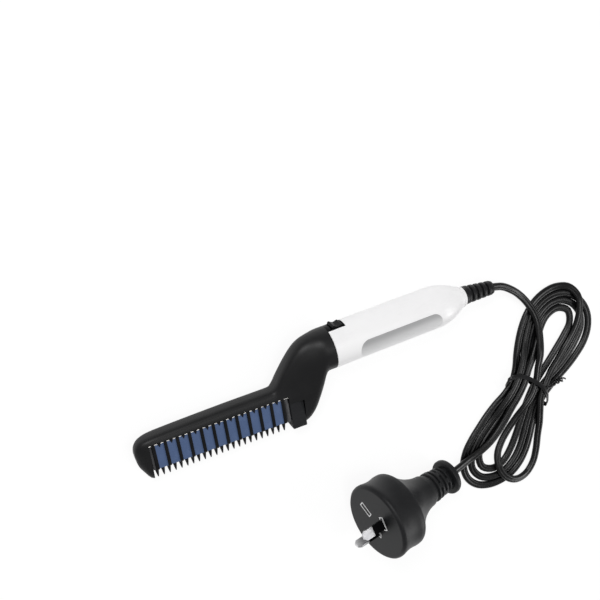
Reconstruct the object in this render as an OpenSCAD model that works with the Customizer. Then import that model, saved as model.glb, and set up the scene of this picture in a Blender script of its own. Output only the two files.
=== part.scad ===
// Heated styling comb with an offset neck, a rocker switch and a tied flat cord.
// Millimetres. The comb is laid out along +X with its back towards +Y and its sides along Z,
// and placed() then lays it on its side on the surface z = 0.

/* [Grip] */
// Outer diameter of the grip
grip_d = 27.6; // [26:0.2:30]
// Length of the grip from the collar joint to its tail
grip_len = 97.9; // [92:0.1:110]
// Wall of the grip shells
grip_wall = 1.8; // [1.6:0.1:2.2]
// Length of the rounded shoulder at the tail
shoulder_len = 25.6; // [23:0.2:28]
// Outer diameter of the tail
tail_d = 12.6; // [12:0.2:14]
// Length of the separate ring on the tail
ring_len = 2.4; // [2:0.1:3]
// Length of the label plate
label_len = 58; // [40:1:60]
// Width of the label plate
label_w = 14; // [9:0.5:15]

/* [Head] */
// Distance from the nose to the collar joint
head_len = 132.7; // [131:0.1:138]
// Half of the width of the spine
spine_half_w = 7.8; // [7.6:0.1:8.4]
// Wall of the head shells
head_wall = 1.4; // [1.2:0.1:1.6]
// Slope of the row of teeth against the grip, in degrees
head_tilt = 2; // [1:0.5:3]

/* [Comb] */
// Number of teeth, an odd number
tooth_count = 23; // [19:2:23]
// Distance from tooth to tooth
tooth_pitch = 3.8; // [3.6:0.05:3.85]
// Width of a side rib
rib_w = 2.0; // [1.6:0.1:2.4]
// Length of the teeth below the heater plates
tooth_len = 8.3; // [6:0.1:8.5]

/* [Heater] */
// Height of the heater plates
plate_h = 16.6; // [15:0.2:17]
// Thickness of a heater plate at its top edge
plate_t = 1.5; // [1.2:0.1:1.6]
// Half of the distance between the heater plates
plate_gap_half = 4.7; // [4.6:0.1:4.9]
// Thickness of the heating element
ptc_t = 2.4; // [2:0.1:2.6]

/* [Switch] */
// Length of the rocker
rocker_len = 7.6; // [7.2:0.1:7.8]
// Width of the rocker
rocker_w = 8.8; // [8:0.1:9.2]
// Turn of the rocker between off and on, in degrees
rocker_throw = 16; // [12:1:16]
// Diameter of the rocker's pin
rocker_pin_d = 1.6; // [1.4:0.1:1.8]

/* [Cord] */
// Width of the flat cord
cord_w = 5.2; // [5:0.1:5.4]
// Thickness of the flat cord
cord_t = 3.2; // [3:0.1:3.4]
// Length of the strain relief outside the grip
relief_len = 21.5; // [18:0.5:24]
// Bend of the strain relief towards the teeth's side, in degrees
relief_bend = 4.5; // [0:0.5:6]
// Number of ribs on the strain relief
relief_ribs = 5; // [4:1:6]
// Height of the folded hank
hank_h = 7.5; // [7.5:0.5:9]
// Thickness of the twist tie
tie_t = 1.2; // [1:0.1:1.4]

/* [Plug] */
// Diameter of the plug at its face
plug_d = 52; // [50:0.5:54]
// Length of the plug body
plug_len = 67; // [65:0.5:70]
// Diameter of the collar where the cord leaves the plug
plug_collar_d = 24; // [22:0.5:25]
// Length of a pin beyond the plug's face
pin_len = 17.06; // [16.7:0.01:17.4]
// Width of a pin
pin_w = 6.35; // [6.2:0.05:6.5]
// Thickness of a pin
pin_t = 1.6; // [1.5:0.05:1.7]
// Distance of each pin's centre from the plug's axis
pin_radius = 7.92; // [7.8:0.02:8]

/* [Hidden] */
eps = 0.02;
side = [1, -1];
// Size of a block that cuts away all that lies beyond a plane
beyond = 2 * (head_len + grip_len);

// ---- grip ----
grip_r = grip_d / 2;
grip_bore_r = grip_r - grip_wall;
collar_x = head_len;
tail_x = collar_x + grip_len;
shoulder_x = tail_x - shoulder_len;
tail_r = tail_d / 2;
shoulder_steps = 12;
function shoulder_share(t) =
    let (u = min(1, max(0, t))) (1 + cos(180 * pow(u, 1.4))) / 4 + (1 - pow(u, 2.2)) / 2;
function grip_outer_r(x) =
    tail_r + (grip_r - tail_r) * shoulder_share((x - shoulder_x) / shoulder_len);
ring_x = tail_x - ring_len;
ring_seat_r = 5.2;
ring_play = 0.05;
tail_bore_r = 4.55;

// ---- strain relief and flat cord ----
relief_x = tail_x;
relief_end_x = relief_x + relief_len;
relief_collar_len = 1.6;
bend_x = relief_x + relief_collar_len;
bend_len = relief_len - relief_collar_len;
relief_base_r = 6.2;
relief_end_r = 4.7;
relief_neck_r = 4.45;
relief_flange_r = 5.6;
relief_flange_len = 2.2;
flange_x = ring_x - 0.7;
relief_groove = 1.1;
relief_bore_r = cord_w / 2 + 0.05;
jacket_end_x = tail_x - 27;

// ---- where the head, the neck and the grip end, as drawn and as sized ----
rib_half_w = rib_w / 2;
first_tooth_x = 11.2;
comb_end_x = first_tooth_x + (tooth_count - 1) * tooth_pitch;
drawn_comb_end = 94.8;
drawn_collar = 132.7;
drawn_tail = 230.6;
drawn_r = 13.8;
drawn_spine = 7.8;
size_line = [
    [-10, -10], [0, 0], [drawn_comb_end, comb_end_x], [drawn_collar, collar_x],
    [drawn_tail, tail_x], [drawn_tail + 50, tail_x + 50]
];
drawn_line = [for (k = size_line) [k[1], k[0]]];
// A drawn place along X to its place at the sizes above, and back
function at_x(x) = lookup(x, size_line);
function drawn_x(x) = lookup(x, drawn_line);
function at_points(p) = [for (q = p) [at_x(q[0]), q[1], q[2]]];
// Length of the neck as a share of the drawn one
neck_scale = (collar_x - comb_end_x) / (drawn_collar - drawn_comb_end);

// ---- head outline, as drawn ----
// Height of the back of the head and neck along X
top_line = [
    [-0.6, -20], [0, -17.6], [1.5, -15.4], [4, -13.7], [8, -12.7], [14, -12.2], [30, -12.1],
    [60, -12.3], [90, -12.9], [93, -10.4], [96, -6.4], [100, -1.5], [104, 3], [108, 7],
    [112, 10.1], [117, 12.3], [123, 13.4], [129, drawn_r], [200, drawn_r]
];
// Height of the tooth side of the head and neck along X
bottom_line = [
    [-0.6, -25], [0, -30], [2.5, -35.6], [4.5, -39.4], [6.2, -41.2], [8, -41.6], [40, -43],
    [97, -44.4], [106, -43.6], [110, -42.2], [113, -39.8], [116, -36], [119, -30.6],
    [122.4, -23.4], [124.4, -18], [125.4, -15.8], [126.6, -14.4], [128, -drawn_r],
    [200, -drawn_r]
];
// Half width of the head and neck along X, in shares of the spine up to the neck
side_line = [
    [-0.6, 2.6], [0, 3.6], [2, 5.4], [5, 6.8], [10, 7.6], [16, drawn_spine],
    [88, drawn_spine], [96, 8.2], [104, 9.2], [112, 10.6], [120, 12.2], [128, 13.5],
    [134, drawn_r], [200, drawn_r]
];
// How much thinner a section is at its tooth side, as a share of its half width
taper_line = [[0, 0.42], [8, 0.4], [95, 0.35], [108, 0.25], [118, 0.1], [128, 0], [200, 0]];
// Squareness of a section, where 2 is a plain ellipse
square_line = [[0, 2.6], [10, 3.5], [88, 3.5], [110, 2.8], [130, 2], [200, 2]];
nose_x = -0.6;
stations = [
    for (x = [nose_x, 0, 1.5, 3, 5, 8, 14, 30, 60, 90, 93, 96, 100, 104, 108, 112, 116, 119,
              122.4, 124.4, 125.4, 126.6, 128])
        at_x(x)
];
section_steps = 32;
grip_grow = grip_r - drawn_r;
spine_grow = spine_half_w - drawn_spine;
// A grown collar swells the whole neck, and a grown spine the head, from the drawn outline
function neck_share(x) =
    min(1, max(0, (drawn_x(x) - drawn_comb_end) / (drawn_collar - drawn_comb_end)));
function top_y(x) = lookup(drawn_x(x), top_line) + grip_grow * neck_share(x);
function bottom_y(x) = lookup(drawn_x(x), bottom_line) - grip_grow * neck_share(x);
function side_w(x) =
    lookup(drawn_x(x), side_line) + grip_grow * neck_share(x)
    + spine_grow * (1 - neck_share(x));
function slant(x) = sqrt(1 + pow((top_y(x + 1) - top_y(x - 1)) / 2, 2));
function signed_pow(v, e) = sign(v) * pow(abs(v), e);

// ---- comb and heater, in the sloped frame of the head ----
pivot_x = 10;
seam_y = -16.1;
guard_foot = 0.5;
fit_gap = 0.05;
trim_h = 0.5;
plate_top_y = seam_y - guard_foot - trim_h - 2 * fit_gap;
plate_bottom_y = plate_top_y - plate_h;
plate_taper = 0.8;
plate_top_w = plate_gap_half + plate_t;
plate_bottom_w = plate_top_w - plate_taper;
rib_proud = 0.8;
window_x = first_tooth_x - 2.7;
nose_spacer_len = 1.5;
plates_x = first_tooth_x - rib_half_w;
plates_end_x = comb_end_x + rib_half_w;
column_r = 1.6;
column_x = plates_end_x + column_r + fit_gap;
block_x = column_x + column_r + fit_gap;
block_len = 9.4 * neck_scale;
block_top_y = seam_y - 4.9;
block_bottom_y = plate_bottom_y - 6.5;
block_half_w = 6.2;
window_end_x = block_x + block_len + fit_gap;
tip_y = plate_bottom_y - fit_gap - tooth_len;
tip_half = 0.2;
rail_half_w = 2.2;
rail_h = 1.5;
root_len = 2.6;
carrier_half_w = plate_gap_half - fit_gap;
carrier_top_y = plate_top_y - fit_gap;
carrier_bottom_y = plate_bottom_y + fit_gap;
slot_half_w = ptc_t / 2 + 0.75;
slot_h = 9;
slot_y = (carrier_top_y + carrier_bottom_y) / 2;
film_t = 0.2;
electrode_t = 0.4;
slide_gap = 0.05;
tab_len = 1.15;
function in_head(p) = [
    pivot_x + (p[0] - pivot_x) * cos(head_tilt) + p[1] * sin(head_tilt),
    p[1] * cos(head_tilt) - (p[0] - pivot_x) * sin(head_tilt), p[2]
];

// ---- switch ----
rocker_x = collar_x + 7;
rocker_y = grip_r - 2.6;
rocker_crown = 3.3;
rocker_dish = 1.1;
rocker_skirt = 1;
rocker_rise =
    rocker_y + rocker_crown * cos(rocker_throw / 2) + rocker_len / 2 * sin(rocker_throw / 2)
    - grip_r;
rocker_play = 0.15;
well_half_len =
    rocker_len / 2 * cos(rocker_throw / 2) + rocker_crown * sin(rocker_throw / 2) + rocker_play;
well_half_w = rocker_w / 2 + rocker_play;
well_wall = 0.55;
well_depth = 8.6;
well_floor = 1;
housing_half_len = well_half_len + well_wall;
housing_half_w = well_half_w + well_wall;
pin_play = 0.06;
bridge_t = 0.4;
bridge_y = 2.2;
bridge_half_len = 3.2;
bridge_w = 3;
terminal_gap = 0.2;
terminal_w = 2.4;
terminal_t = 0.8;
terminal_x = 2.8;
terminal_tail = 2.5;

// ---- how the comb lies on its side: on the grip and on the heel block's lower edge ----
block_low_x = block_x + block_len;
block_low_y =
    block_bottom_y * cos(head_tilt) - (block_low_x - pivot_x) * sin(head_tilt);
reach = norm([block_low_y, block_half_w]);
roll = asin(grip_r / reach) - atan2(block_half_w, -block_low_y);
high_y = (grip_r + rocker_rise) * cos(roll) + rocker_w / 2 * sin(roll);
low_y = block_low_y * cos(roll) - block_half_w * sin(roll);
mid_x = (nose_x + bend_x + bend_len * cos(relief_bend)) / 2;
mid_y = (high_y + low_y) / 2;

// ---- screws ----
screw_r = 1.1;
screw_head_r = 2.1;
screw_head_h = 1.4;
screw_play = 0.15;
boss_r = 3;
boss_y = -6.5;
boss_x = [collar_x + 25, shoulder_x - 4];
boss_seat = 6;
screw_bite = 7;
head_boss_r = 2.9;
head_boss_gap = 2.1;
head_boss = [
    [at_x(120), -2], [block_low_x + (head_boss_gap + head_boss_r) * neck_scale, -32]
];
head_screw_seat = 3.6;
head_screw_bite = 5;

// ---- cord clamp ----
clamp_x = shoulder_x + 6;
clamp_len = 5;
clamp_half_w = 7.6;
clamp_t = 2;
clamp_gap = 0.1;
clamp_screw_y = 5.4;

// ---- wires inside, as routes of hand-set points ----
fuse_r = 1.8;
fuse_len = 9.2;
fuse_x = at_x(102);
fuse_end_x = fuse_x + fuse_len + fit_gap;
fuse_y = -15;
fuse_w = 2.8;
fuse_lead_r = 0.5;
core_r = 0.9;
terminal_end_y = rocker_y - well_depth + 2.6 - terminal_tail - 0.05;
live_route = concat(
    [[jacket_end_x - 0.2, 1, 0]],
    at_points([[198, 1.4, 0.6], [186, 1.8, 2], [170, 1.2, 2.4], [156, 0.2, 1.6],
               [147, -1.6, 0.4]]),
    [[rocker_x + 1.6, terminal_end_y - 3.4, 0], [rocker_x, terminal_end_y - 1.8, 0],
     [rocker_x, terminal_end_y, 0]]
);
switched_route = concat(
    [[rocker_x - terminal_x, terminal_end_y, 0],
     [rocker_x - terminal_x, terminal_end_y - 1.8, 0]],
    at_points([[135.4, -2, 0.4], [132, -4, 1], [126, -7, 2.2]]),
    [[fuse_end_x + 7.8 * neck_scale, -12, fuse_w], [fuse_end_x + 2.8 * neck_scale, -14.4, fuse_w],
     [fuse_end_x, fuse_y, fuse_w]]
);
lead_x = plates_end_x + tab_len + fit_gap;
tab_w = ptc_t / 2 + electrode_t / 2;
neutral_route = concat(
    [[jacket_end_x - 0.2, -1, 0]],
    at_points([[198, -1.6, -0.8], [184, -2, -2.4], [166, -1.8, -3], [150, -1.6, -2.6],
               [138, -4, -2.4], [130, -7.6, -2.4], [122, -13.4, -2.6], [114, -18, -2.4]]),
    [for (p = [[6, block_top_y + 1.9, -2], [1.7, block_top_y + 1.7, -tab_w],
               [0.4, block_top_y + 0.7, -tab_w], [0, block_top_y - 1.2, -tab_w],
               [0, slot_y, -tab_w]])
        in_head([lead_x + core_r + p[0], p[1], p[2]])]
);
fuse_route = concat(
    [[fuse_x + 0.6, fuse_y, fuse_w]],
    [for (p = [[1.6, seam_y + 1.6, 2.2], [0.5, seam_y - 1.4, tab_w],
               [0, block_top_y, tab_w], [0, slot_y, tab_w]])
        in_head([lead_x + fuse_lead_r + p[0], p[1], p[2]])]
);

// ---- plug, lying on the rims of its face and of its collar ----
plug_r = plug_d / 2;
plug_collar_r = plug_collar_d / 2;
plug_lobe_y = 17;
plug_lobe_r = plug_r - 0.5;
collar_len = 4.5;
plug_tilt = atan((plug_lobe_r - plug_collar_r) / (plug_len - 1 - plug_lobe_y));
plug_yaw = 0.5;
plug_turn = 132;
plug_end = [193.1, -116.9];
plug_end_z = plug_collar_r * cos(plug_tilt) - sin(plug_tilt);
tail_route = [
    [plug_end[0] + 0.1, plug_end[1], plug_end_z - 0.03],
    [plug_end[0] + 4, plug_end[1] + 0.03, plug_end_z - 4 * tan(plug_tilt)], [203, -116.4, 8],
    [207, -115.8, 6], [211, -115, 4.5]
];
plug_rib_pitch = 3.6;
plug_neck_r = 9;
plug_waist_r = 10.9;
plug_waist_y = 43;
plug_steps = 12;
earth_radius = 10.31;
pin_root = 8;
sleeve_len = 8.6;
sleeve_t = 0.2;
pin_angles = [30, 150];

// ---- cord outside, as routes of hand-set points on the table ----
// They are measured from the nose along the grip's axis, and on_table() puts them in place
exit_len = bend_len + 0.1;
exit_p = [
    bend_x + exit_len * cos(relief_bend), -exit_len * sin(relief_bend) * cos(roll),
    grip_r - exit_len * sin(relief_bend) * sin(roll)
];
lead_route = [
    exit_p, exit_p + [3, -0.3, -0.1], exit_p + [9, -2.7, -1.7], exit_p + [15, -7, -4],
    exit_p + [21, -12.8, -6.4], exit_p + [26, -19.5, -8.4], exit_p + [29.5, -27, -9.6]
];
// Outline of the hank seen from above, a long loop that the tie pulls in at its middle
hank_line = [
    [262, -68], [266, -56], [272, -41], [279, -30], [286, -23], [295, -20], [306, -18],
    [315, -21], [321, -29], [326, -42], [327, -54], [322, -66], [310, -79], [297, -88],
    [282, -97], [274, -106], [271, -118], [268, -130], [262, -141], [251, -148], [238, -149],
    [223, -149], [211, -143], [205, -129], [208, -115], [222, -100], [238, -88], [253, -77]
];
hank_steps = 3;
tie_c = [267, -82];
tie_angle = 56;
tie_w = 3;
tie_core_half = 13.8;
tie_depth = 1.3;
tie_tail_len = 15;

// ================= helpers =================

module placed() {
    translate([-mid_x, -mid_y, grip_r]) rotate([roll, 0, 0]) children();
}

module on_table() {
    translate([-mid_x, -mid_y, 0]) children();
}

module sloped() {
    translate([pivot_x, 0, 0]) rotate([0, 0, -head_tilt]) translate([-pivot_x, 0, 0]) children();
}

// Solid of revolution about X, from a profile of [radius, x] points
module turned(profile) {
    rotate([0, 90, 0]) rotate_extrude($fn = 96) polygon(profile);
}

// Bar along X from a section of [y, z] points
module bar(x, len, section) {
    translate([x, 0, 0]) rotate([90, 0, 90]) linear_extrude(len) polygon(section);
}

// Box given by its lowest corner and its size, symmetric about z = 0
module slab(x, y, len, height, half_w) {
    translate([x, y, -half_w]) cube([len, height, 2 * half_w]);
}

// Closed smooth curve through the points, steps points to each span
function ring_curve(p, steps) = [
    for (i = [0:len(p) - 1]) for (k = [0:steps - 1])
        blend(p[(i + len(p) - 1) % len(p)], p[i], p[(i + 1) % len(p)], p[(i + 2) % len(p)],
              k / steps)
];
function blend(a, b, c, d, t) =
    0.5 * (2 * b + (c - a) * t + (2 * a - 5 * b + 4 * c - d) * t * t
    + (3 * b - a - 3 * c + d) * t * t * t);
// Open smooth curve through the points
function open_curve(p, steps) = concat([
    for (i = [0:len(p) - 2]) for (k = [0:steps - 1])
        blend(p[max(i - 1, 0)], p[i], p[i + 1], p[min(i + 2, len(p) - 1)], k / steps)
], [p[len(p) - 1]]);
function unit(v) = v / norm(v);

// Tube of elliptic section along a route; a is its half width level with the table
module tube(route, a, b, steps = 3, sides = 8) {
    p = open_curve(route, steps);
    n = len(p);
    points = [
        for (i = [0:n - 1])
            let (t = unit(p[min(i + 1, n - 1)] - p[max(i - 1, 0)]),
                 s = unit(cross([0, 0, 1], t)), u = cross(t, s))
            for (j = [0:sides - 1])
                let (q = 360 * (j + 0.5) / sides) p[i] + s * a * cos(q) + u * b * sin(q)
    ];
    walls = [
        for (i = [0:n - 2]) for (j = [0:sides - 1])
            let (k = (j + 1) % sides)
            [i * sides + j, (i + 1) * sides + j, (i + 1) * sides + k, i * sides + k]
    ];
    first = [for (j = [0:sides - 1]) j];
    last = [for (j = [sides - 1:-1:0]) (n - 1) * sides + j];
    polyhedron(points, concat([first], walls, [last]));
}

// ================= head =================

// Section of the head and neck at x, inset by wall from its outside
function head_section(x, wall) =
    let (top = top_y(x) - wall * slant(x), bottom = bottom_y(x) + wall * slant(x),
         half_w = side_w(x) - wall, e = 2 / lookup(drawn_x(x), square_line),
         taper = lookup(drawn_x(x), taper_line))
    [for (i = [0:section_steps - 1])
        let (q = 360 * i / section_steps, v = signed_pow(sin(q), e))
        [x, (top + bottom) / 2 + (top - bottom) / 2 * v,
         half_w * signed_pow(cos(q), e) * (1 - taper * (1 - v) / 2)]];

// Skin through the sections at xs, closed by its first and last section
module head_loft(wall, xs) {
    n = section_steps;
    last = (len(xs) - 1) * n;
    points = [for (x = xs) each head_section(x, wall)];
    walls = [
        for (i = [0:len(xs) - 2]) for (j = [0:n - 1])
            let (a = i * n + j, b = i * n + (j + 1) % n)
            each [[a, b, b + n], [a, b + n, a + n]]
    ];
    polyhedron(points, concat(
        [[for (j = [n - 1:-1:0]) j]], walls, [[for (j = [0:n - 1]) last + j]]));
}

module head_window() {
    sloped() {
        slab(window_x, seam_y - 60, block_x - window_x + eps, 60, 20);
        slab(block_x, block_top_y - 60 + fit_gap, window_end_x - block_x, 60, 20);
    }
}

module head_cavity() {
    head_loft(head_wall, concat([for (x = stations) if (x > 2) x], [collar_x + eps]));
}

module spigot() {
    difference() {
        union() {
            translate([collar_x - 3, 0, 0]) rotate([0, 90, 0])
                cylinder(r = grip_bore_r - 0.15, h = 8.5, $fn = 64);
            translate([collar_x - 3, 0, 0]) rotate([0, 90, 0])
                cylinder(r = grip_r - head_wall / 2, h = 3 - eps, $fn = 64);
        }
        translate([collar_x - 4, 0, 0]) rotate([0, 90, 0])
            cylinder(r = grip_bore_r - 1.7, h = 11, $fn = 64);
        translate([collar_x + eps, 2, -housing_half_w - 0.4])
            cube([9, 20, 2 * housing_half_w + 0.8]);
    }
}

module head_bosses(s) {
    intersection() {
        head_loft(head_wall / 2, stations);
        for (p = head_boss) translate([p[0], p[1], s > 0 ? 0 : -20])
            cylinder(r = head_boss_r, h = 20, $fn = 24);
    }
}

module head_screw_holes(s) {
    for (p = head_boss) translate([p[0], p[1], 0]) {
        if (s > 0) {
            translate([0, 0, -1]) cylinder(r = screw_r + 0.05, h = head_screw_bite + 1.5, $fn = 24);
        } else {
            translate([0, 0, -30]) cylinder(r = screw_r + screw_play, h = 31, $fn = 24);
            translate([0, 0, -30 - head_screw_seat])
                cylinder(r = screw_head_r + screw_play, h = 30, $fn = 24);
        }
    }
}

module head_shell(s) {
    difference() {
        union() {
            difference() {
                head_loft(0, concat(stations, [collar_x - eps]));
                head_cavity();
            }
            head_bosses(s);
            spigot();
        }
        head_window();
        head_screw_holes(s);
        translate([nose_x - 1, -beyond / 2, s > 0 ? -beyond : 0]) cube(beyond);
    }
}

module head_shell_left() {
    color([0.13, 0.13, 0.14]) placed() head_shell(1);
}

module head_shell_right() {
    color([0.13, 0.13, 0.14]) placed() head_shell(-1);
}

module head_screws() {
    color("silver") placed() for (p = head_boss) translate([p[0], p[1], -head_screw_seat]) {
        cylinder(r = screw_r, h = head_screw_seat + head_screw_bite, $fn = 32);
        translate([0, 0, -screw_head_h]) cylinder(r = screw_head_r, h = screw_head_h, $fn = 32);
    }
}

// ================= comb =================

function tooth_x(i) = first_tooth_x + i * tooth_pitch;
// Outer and inner limits of the rib that goes round the heater, as [y, z] points
rib_outer = [
    [seam_y - fit_gap, plate_top_w + rib_proud],
    [plate_bottom_y, plate_bottom_w + rib_proud],
    [plate_bottom_y - rail_h - 1, rail_half_w],
    [plate_bottom_y - rail_h - 1, -rail_half_w],
    [plate_bottom_y, -plate_bottom_w - rib_proud],
    [seam_y - fit_gap, -plate_top_w - rib_proud]
];
rib_inner = [
    [seam_y - guard_foot - fit_gap, plate_top_w + fit_gap],
    [plate_bottom_y - fit_gap, plate_bottom_w + fit_gap],
    [plate_bottom_y - fit_gap, -plate_bottom_w - fit_gap],
    [seam_y - guard_foot - fit_gap, -plate_top_w - fit_gap]
];
top_rail_w = 3.6;
top_rail_t = 1;
top_rail_h = 1.3;

module guard_rib(x) {
    translate([x - rib_half_w, 0, 0]) rotate([90, 0, 90]) linear_extrude(rib_w) difference() {
        polygon(rib_outer);
        polygon(rib_inner);
        translate([seam_y - 1, -top_rail_w]) square([2, 2 * top_rail_w]);
    }
}

// Triangular root over the top edge of a plate, with the foot that carries it
module guard_root(x, s) {
    z0 = s > 0 ? plate_top_w + fit_gap : -plate_top_w - rib_proud;
    translate([x, 0, z0]) linear_extrude(rib_proud - fit_gap) polygon([
        [-rib_half_w, seam_y - fit_gap], [rib_half_w, seam_y - fit_gap],
        [rib_half_w, seam_y - guard_foot - fit_gap],
        [0, seam_y - guard_foot - root_len], [-rib_half_w, seam_y - guard_foot - fit_gap]
    ]);
    translate([x - rib_half_w, seam_y - guard_foot - fit_gap, s > 0 ? top_rail_w : -plate_top_w - 0.4])
        cube([rib_w, guard_foot, plate_top_w + 0.4 - top_rail_w]);
}

module guard_teeth() {
    root_y = plate_bottom_y - rail_h;
    intersection() {
        for (i = [0:tooth_count - 1]) translate([tooth_x(i), 0, -10]) linear_extrude(20)
            polygon([
                [-rib_half_w, root_y], [rib_half_w, root_y],
                [tip_half, tip_y], [-tip_half, tip_y]
            ]);
        bar(window_x, window_end_x - window_x, [
            [root_y, rail_half_w], [tip_y, tip_half * 2],
            [tip_y, -tip_half * 2], [root_y, -rail_half_w]
        ]);
    }
}

module comb_guard() {
    rail_end_x = block_x - fit_gap;
    color([0.08, 0.08, 0.09]) placed() sloped() {
        for (i = [0:2:tooth_count - 1]) guard_rib(tooth_x(i));
        for (i = [1:2:tooth_count - 2]) for (s = side) guard_root(tooth_x(i), s);
        guard_teeth();
        slab(window_x + fit_gap, plate_bottom_y - fit_gap - rail_h,
             rail_end_x - window_x - fit_gap, rail_h, rail_half_w);
        for (s = side) translate([window_x + fit_gap, seam_y - guard_foot - fit_gap,
                                  s > 0 ? top_rail_w : -top_rail_w - top_rail_t])
            cube([rail_end_x - window_x - fit_gap, top_rail_h, top_rail_t]);
    }
}

module heel_block() {
    color([0.14, 0.14, 0.15]) placed() sloped() slab(
        block_x, block_bottom_y, block_len, block_top_y - block_bottom_y, block_half_w);
}

// ================= heater =================

// Side plate, from the plates' top edge down; s is its side
module heater_plate(s) {
    bar(plates_x, plates_end_x - plates_x, [
        [plate_top_y, s * plate_gap_half], [plate_top_y, s * plate_top_w],
        [plate_bottom_y, s * plate_bottom_w], [plate_bottom_y, s * plate_gap_half]
    ]);
}

module heater_plate_left() {
    color([0.38, 0.47, 0.64]) placed() sloped() heater_plate(1);
}

module heater_plate_right() {
    color([0.38, 0.47, 0.64]) placed() sloped() heater_plate(-1);
}

// Bright lip on the top edge of a plate, bevelled outwards
module plate_trim(s) {
    top = plate_top_y + fit_gap / 2 + trim_h;
    bar(plates_x - nose_spacer_len, plates_end_x - plates_x + nose_spacer_len + 2 * column_r, [
        [top, s * plate_gap_half], [top, s * (plate_top_w - 0.3)],
        [plate_top_y + fit_gap / 2, s * (plate_top_w - fit_gap / 2)],
        [plate_top_y + fit_gap / 2, s * plate_gap_half]
    ]);
}

module plate_trim_left() {
    color([0.92, 0.9, 0.84]) placed() sloped() plate_trim(1);
}

module plate_trim_right() {
    color([0.92, 0.9, 0.84]) placed() sloped() plate_trim(-1);
}

module nose_spacer() {
    color([0.5, 0.5, 0.52]) placed() sloped() slab(
        plates_x - nose_spacer_len - fit_gap, plate_bottom_y, nose_spacer_len, plate_h,
        plate_bottom_w);
}

module heel_spacer() {
    color([0.5, 0.5, 0.52]) placed() sloped() {
        for (s = side) translate([column_x, plate_top_y, s * (plate_gap_half - 0.2)])
            rotate([90, 0, 0]) cylinder(r = column_r, h = plate_h, $fn = 32);
        slab(column_x - column_r, plate_bottom_y, column_r,
             slot_y - slot_h / 2 - plate_bottom_y, plate_gap_half);
    }
}

module heater_block() {
    color("lightgray") placed() sloped() difference() {
        slab(plates_x, carrier_bottom_y, plates_end_x - plates_x,
             carrier_top_y - carrier_bottom_y, carrier_half_w);
        slab(plates_x - 1, slot_y - slot_h / 2, plates_end_x - plates_x + 2, slot_h, slot_half_w);
    }
}

film_out = slot_half_w - slide_gap;
module insulation_film() {
    color([0.8, 0.5, 0.15]) placed() sloped() difference() {
        slab(plates_x, slot_y - slot_h / 2 + slide_gap, plates_end_x - plates_x,
             slot_h - 2 * slide_gap, film_out);
        slab(plates_x - 1, slot_y - slot_h / 2 + slide_gap + film_t,
             plates_end_x - plates_x + 2, slot_h - 2 * slide_gap - 2 * film_t,
             film_out - film_t);
    }
}

module electrode_strips() {
    inner = ptc_t / 2;
    color("gold") placed() sloped() for (s = side)
        translate([plates_x + 1, slot_y - slot_h / 2 + 1, s > 0 ? inner : -inner - electrode_t])
            cube([plates_end_x - plates_x - 1 + tab_len, slot_h - 2, electrode_t]);
}

module ptc_element() {
    color("dimgray") placed() sloped() slab(
        plates_x + 2, slot_y - slot_h / 2 + 1, plates_end_x - plates_x - 4, slot_h - 2,
        ptc_t / 2);
}

module thermal_fuse() {
    color("khaki") placed() {
        translate([fuse_x, fuse_y, fuse_w]) rotate([0, 90, 0])
            cylinder(r = fuse_r, h = fuse_len, $fn = 32);
        tube(fuse_route, fuse_lead_r, fuse_lead_r, 2);
    }
}

module live_core() {
    color("brown") placed() tube(live_route, core_r, core_r, 2);
}

module switched_lead() {
    color("brown") placed() tube(switched_route, core_r, core_r, 2);
}

module neutral_core() {
    color("royalblue") placed() tube(neutral_route, core_r, core_r, 2);
}

// ================= grip =================

function shoulder_points(inset) = [
    for (i = [0:shoulder_steps])
        let (x = shoulder_x + (ring_x - shoulder_x) * i / shoulder_steps)
        [grip_outer_r(x) - inset, x]
];
grip_profile = concat(
    [[grip_bore_r, collar_x], [grip_r, collar_x]],
    shoulder_points(0),
    [[ring_seat_r, ring_x], [ring_seat_r, tail_x], [tail_bore_r, tail_x],
     [tail_bore_r, flange_x + 0.1], [relief_flange_r + 0.15, flange_x + 0.1]],
    [for (i = [shoulder_steps:-1:0]) if (shoulder_points(grip_wall)[i][1] < ring_x - 1.6)
        shoulder_points(grip_wall)[i]]
);

module label_outline(len, w) {
    r = w * 0.45;
    hull() for (i = side) for (j = side)
        translate([i * (len / 2 - r), j * (w / 2 - r)]) circle(r, $fn = 32);
}

label_angle = 108;
label_t = 0.3;
label_x = (collar_x + shoulder_x) / 2 + 9;

module label_prism(len, w) {
    translate([label_x, 0, 0]) rotate([label_angle - 90, 0, 0])
        linear_extrude(grip_r + 2) label_outline(len, w);
}

module label_skin(inner, outer) {
    turned([
        [inner, collar_x + 5], [outer, collar_x + 5],
        [outer, shoulder_x + 8], [inner, shoulder_x + 8]
    ]);
}

module grip_half(s) {
    rotate([0, 90, 0]) rotate([0, 0, 90 * s]) rotate_extrude(angle = 180, $fn = 96)
        polygon(grip_profile);
}

module grip_boss(x, s) {
    intersection() {
        translate([x, boss_y, s > 0 ? 0 : -grip_r]) cylinder(r = boss_r, h = grip_r, $fn = 48);
        turned([
            [0, collar_x + 1], [grip_r - 0.4, collar_x + 1], [grip_r - 0.4, shoulder_x],
            [0, shoulder_x]
        ]);
    }
}

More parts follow.
